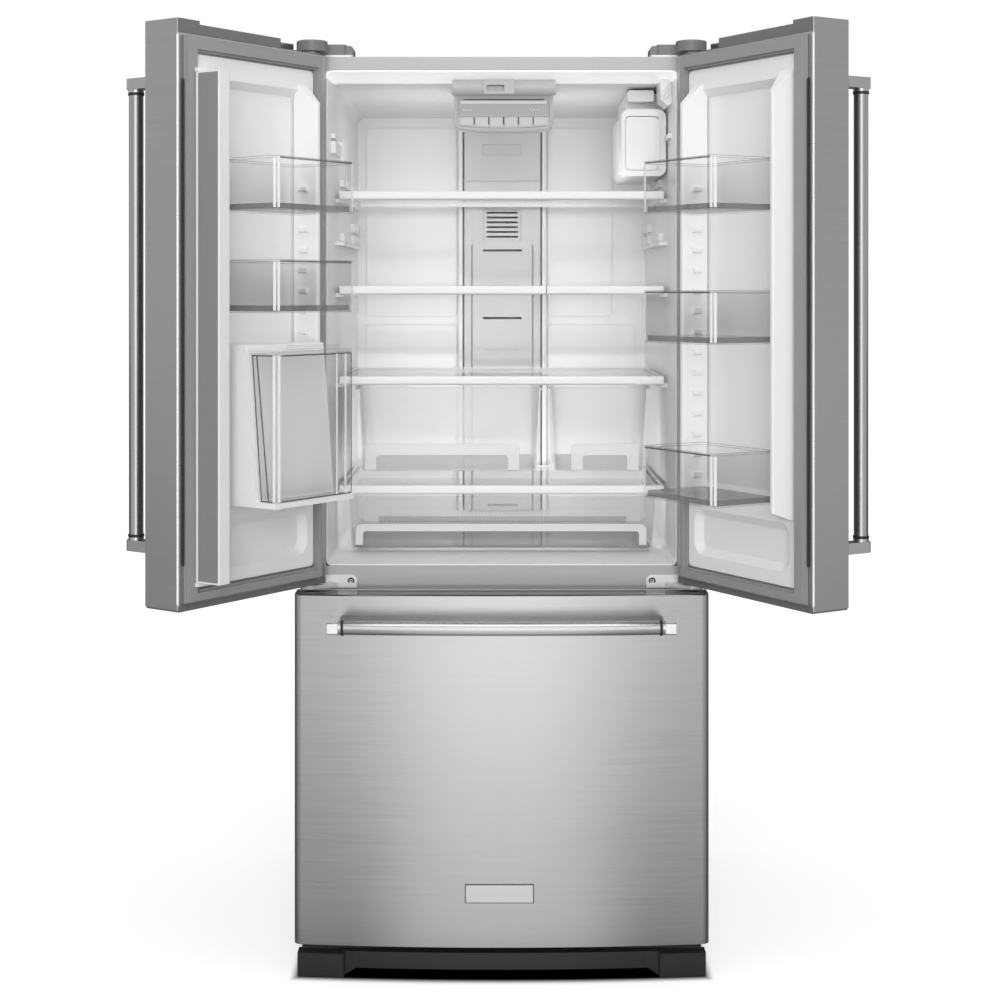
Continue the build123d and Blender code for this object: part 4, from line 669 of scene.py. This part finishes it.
def floor_material():
    mat = bpy.data.materials.new("studio_floor")
    mat.use_nodes = True
    tree = mat.node_tree
    tree.nodes.clear()
    add = graph(tree)
    seen, mirrored = by_ray(tree, add)
    place = tree.nodes.new("ShaderNodeNewGeometry").outputs["Position"]
    split = add("SeparateXYZ", place).node
    side = add("Math", split.outputs["X"], operation="ABSOLUTE")

    # Painted shadow under the object: both the floor's colour and its glow go to nothing there.
    free = outside_painted_shadow(add, side, split.outputs["Y"])
    tone = add("Math", free, FLOOR_GREY, operation="MULTIPLY")
    paper = add("BsdfDiffuse", add("CombineXYZ", tone, tone, tone))
    far = add("VectorMath", place, operation="LENGTH").node.outputs["Value"]
    level = add("MapRange", far, *GLOW_REACH, GLOW_NEAR, GLOW_FAR)
    glow = add("Math", add("Math", seen, free, operation="MULTIPLY"), level, operation="MULTIPLY")
    plain = add("AddShader", paper, add("Emission", WHITE, glow))

    ahead = add("Math", add("Math", BAND_Y, split.outputs["Y"], operation="SUBTRACT"), BAND_LEAST,
                operation="MAXIMUM")
    band = add("Math", ahead, BAND_SPREAD, BAND_HALF, operation="MULTIPLY_ADD")
    across = curve(add, add("Math", side, band, operation="DIVIDE"), FLOOR_ACROSS, 2.0)
    along = curve(add, ahead, FLOOR_ALONG, 6.0)
    shine = add("Emission", WHITE, add("Math", across, along, operation="MULTIPLY"))
    both = add("MixShader", mirrored, plain, shine)
    tree.links.new(both, tree.nodes.new("ShaderNodeOutputMaterial").inputs["Surface"])
    return mat


def stage_floor():
    """Plain floor: pale to the camera with the object's shadow on it, painted dark under the object, and
    graded where metal mirrors it.
    """
    bm = bmesh.new()
    corners = strip(-FLOOR_HALF, FLOOR_HALF, -FLOOR_HALF, FLOOR_HALF)
    bm.faces.new([bm.verts.new((x, y, 0.0)) for x, y in corners])
    mesh = bpy.data.meshes.new("studio_floor")
    bm.to_mesh(mesh)
    bm.free()
    mesh.materials.append(floor_material())
    floor = bpy.data.objects.new("studio_floor", mesh)
    bpy.context.scene.collection.objects.link(floor)


def studio_world():
    """White to the camera, even and soft on the object, and graded where metal mirrors it."""
    world = bpy.data.worlds.new("studio")
    bpy.context.scene.world = world
    world.use_nodes = True
    tree = world.node_tree
    tree.nodes.clear()
    add = graph(tree)
    seen, mirrored = by_ray(tree, add)
    split = add("SeparateXYZ", tree.nodes.new("ShaderNodeTexCoord").outputs["Generated"]).node
    side = add("Math", split.outputs["X"], operation="ABSOLUTE")
    front = add("Math", split.outputs["Y"], -1.0, operation="MULTIPLY")
    around = curve(add, add("Math", side, front, operation="ARCTAN2"), SKY_ROUND, 3.2)
    up = curve(add, add("Math", split.outputs["Z"], 0.0, operation="MAXIMUM"), SKY_UP, 1.0)
    shine = add("Background", WHITE, add("Math", around, up, operation="MULTIPLY"))
    lit = add("MixShader", mirrored, add("Background", WHITE, AMBIENT), shine)
    total = add("MixShader", seen, lit, add("Background", WHITE, 1.0))
    tree.links.new(total, tree.nodes.new("ShaderNodeOutputWorld").inputs["Surface"])


# Each lamp's place, the point that it faces, its width and height, and its power in watts.
LAMPS = {
    "front_softbox": ((0.0, -8.0, 2.9), (0.0, 0.0, 1.1), (4.0, 3.2), 250.0),
    "top_softbox": ((0.0, -1.2, 3.4), (0.0, 0.0, 0.6), (2.6, 1.6), 26.0),
    "low_bounce": ((0.0, -6.0, 0.3), (0.0, 0.2, 1.3), (3.0, 0.8), 36.0),
    "ceiling_glow": ((0.0, 0.06, 1.44), (0.0, 0.06, 1.7), (0.5, 0.26), 0.26),
    "upper_glow": ((0.0, 0.0, 1.47), (0.0, 0.4, 1.50), (0.5, 0.06), 0.25),
    "middle_glow": ((0.0, 0.0, 1.30), (0.0, 0.4, 1.32), (0.5, 0.12), 0.08),
    "crisper_glow": ((0.0, 0.12, 0.90), (0.0, 0.45, 0.985), (0.55, 0.08), 0.36),
    "pantry_glow": ((0.0, 0.0, 0.82), (0.0, 0.4, 0.85), (0.5, 0.05), 0.75),
}
MIRRORED_LAMPS = ("top_softbox",)


def lamps():
    for name, (place, target, size, power) in LAMPS.items():
        light = bpy.data.lights.new(name, "AREA")
        light.shape = "RECTANGLE"
        light.size, light.size_y = size
        light.energy = power
        obj = bpy.data.objects.new(name, light)
        obj.location = place
        obj.rotation_euler = (Vector(target) - Vector(place)).to_track_quat("-Z", "Y").to_euler()
        bpy.context.scene.collection.objects.link(obj)
        obj.visible_camera = False
        obj.visible_glossy = name in MIRRORED_LAMPS


CAMERA_LENS, CAMERA_SENSOR, CAMERA_SHIFT = 63.72, 36.0, -0.210
CAMERA_PLACE = (-3.0, -3262.0, 1237.0)


def camera():
    """Level camera in front of the open doors, with the view shifted down to take in the floor."""
    data = bpy.data.cameras.new("camera")
    data.lens = CAMERA_LENS
    data.sensor_width = CAMERA_SENSOR
    data.shift_y = CAMERA_SHIFT
    data.clip_end = 200.0
    obj = bpy.data.objects.new("camera", data)
    obj.location = row(*CAMERA_PLACE)
    obj.rotation_euler = (math.radians(90.0), 0.0, 0.0)
    bpy.context.scene.collection.objects.link(obj)
    bpy.context.scene.camera = obj


stage_floor()
studio_world()
lamps()
camera()
bpy.context.scene.view_settings.view_transform = "Standard"
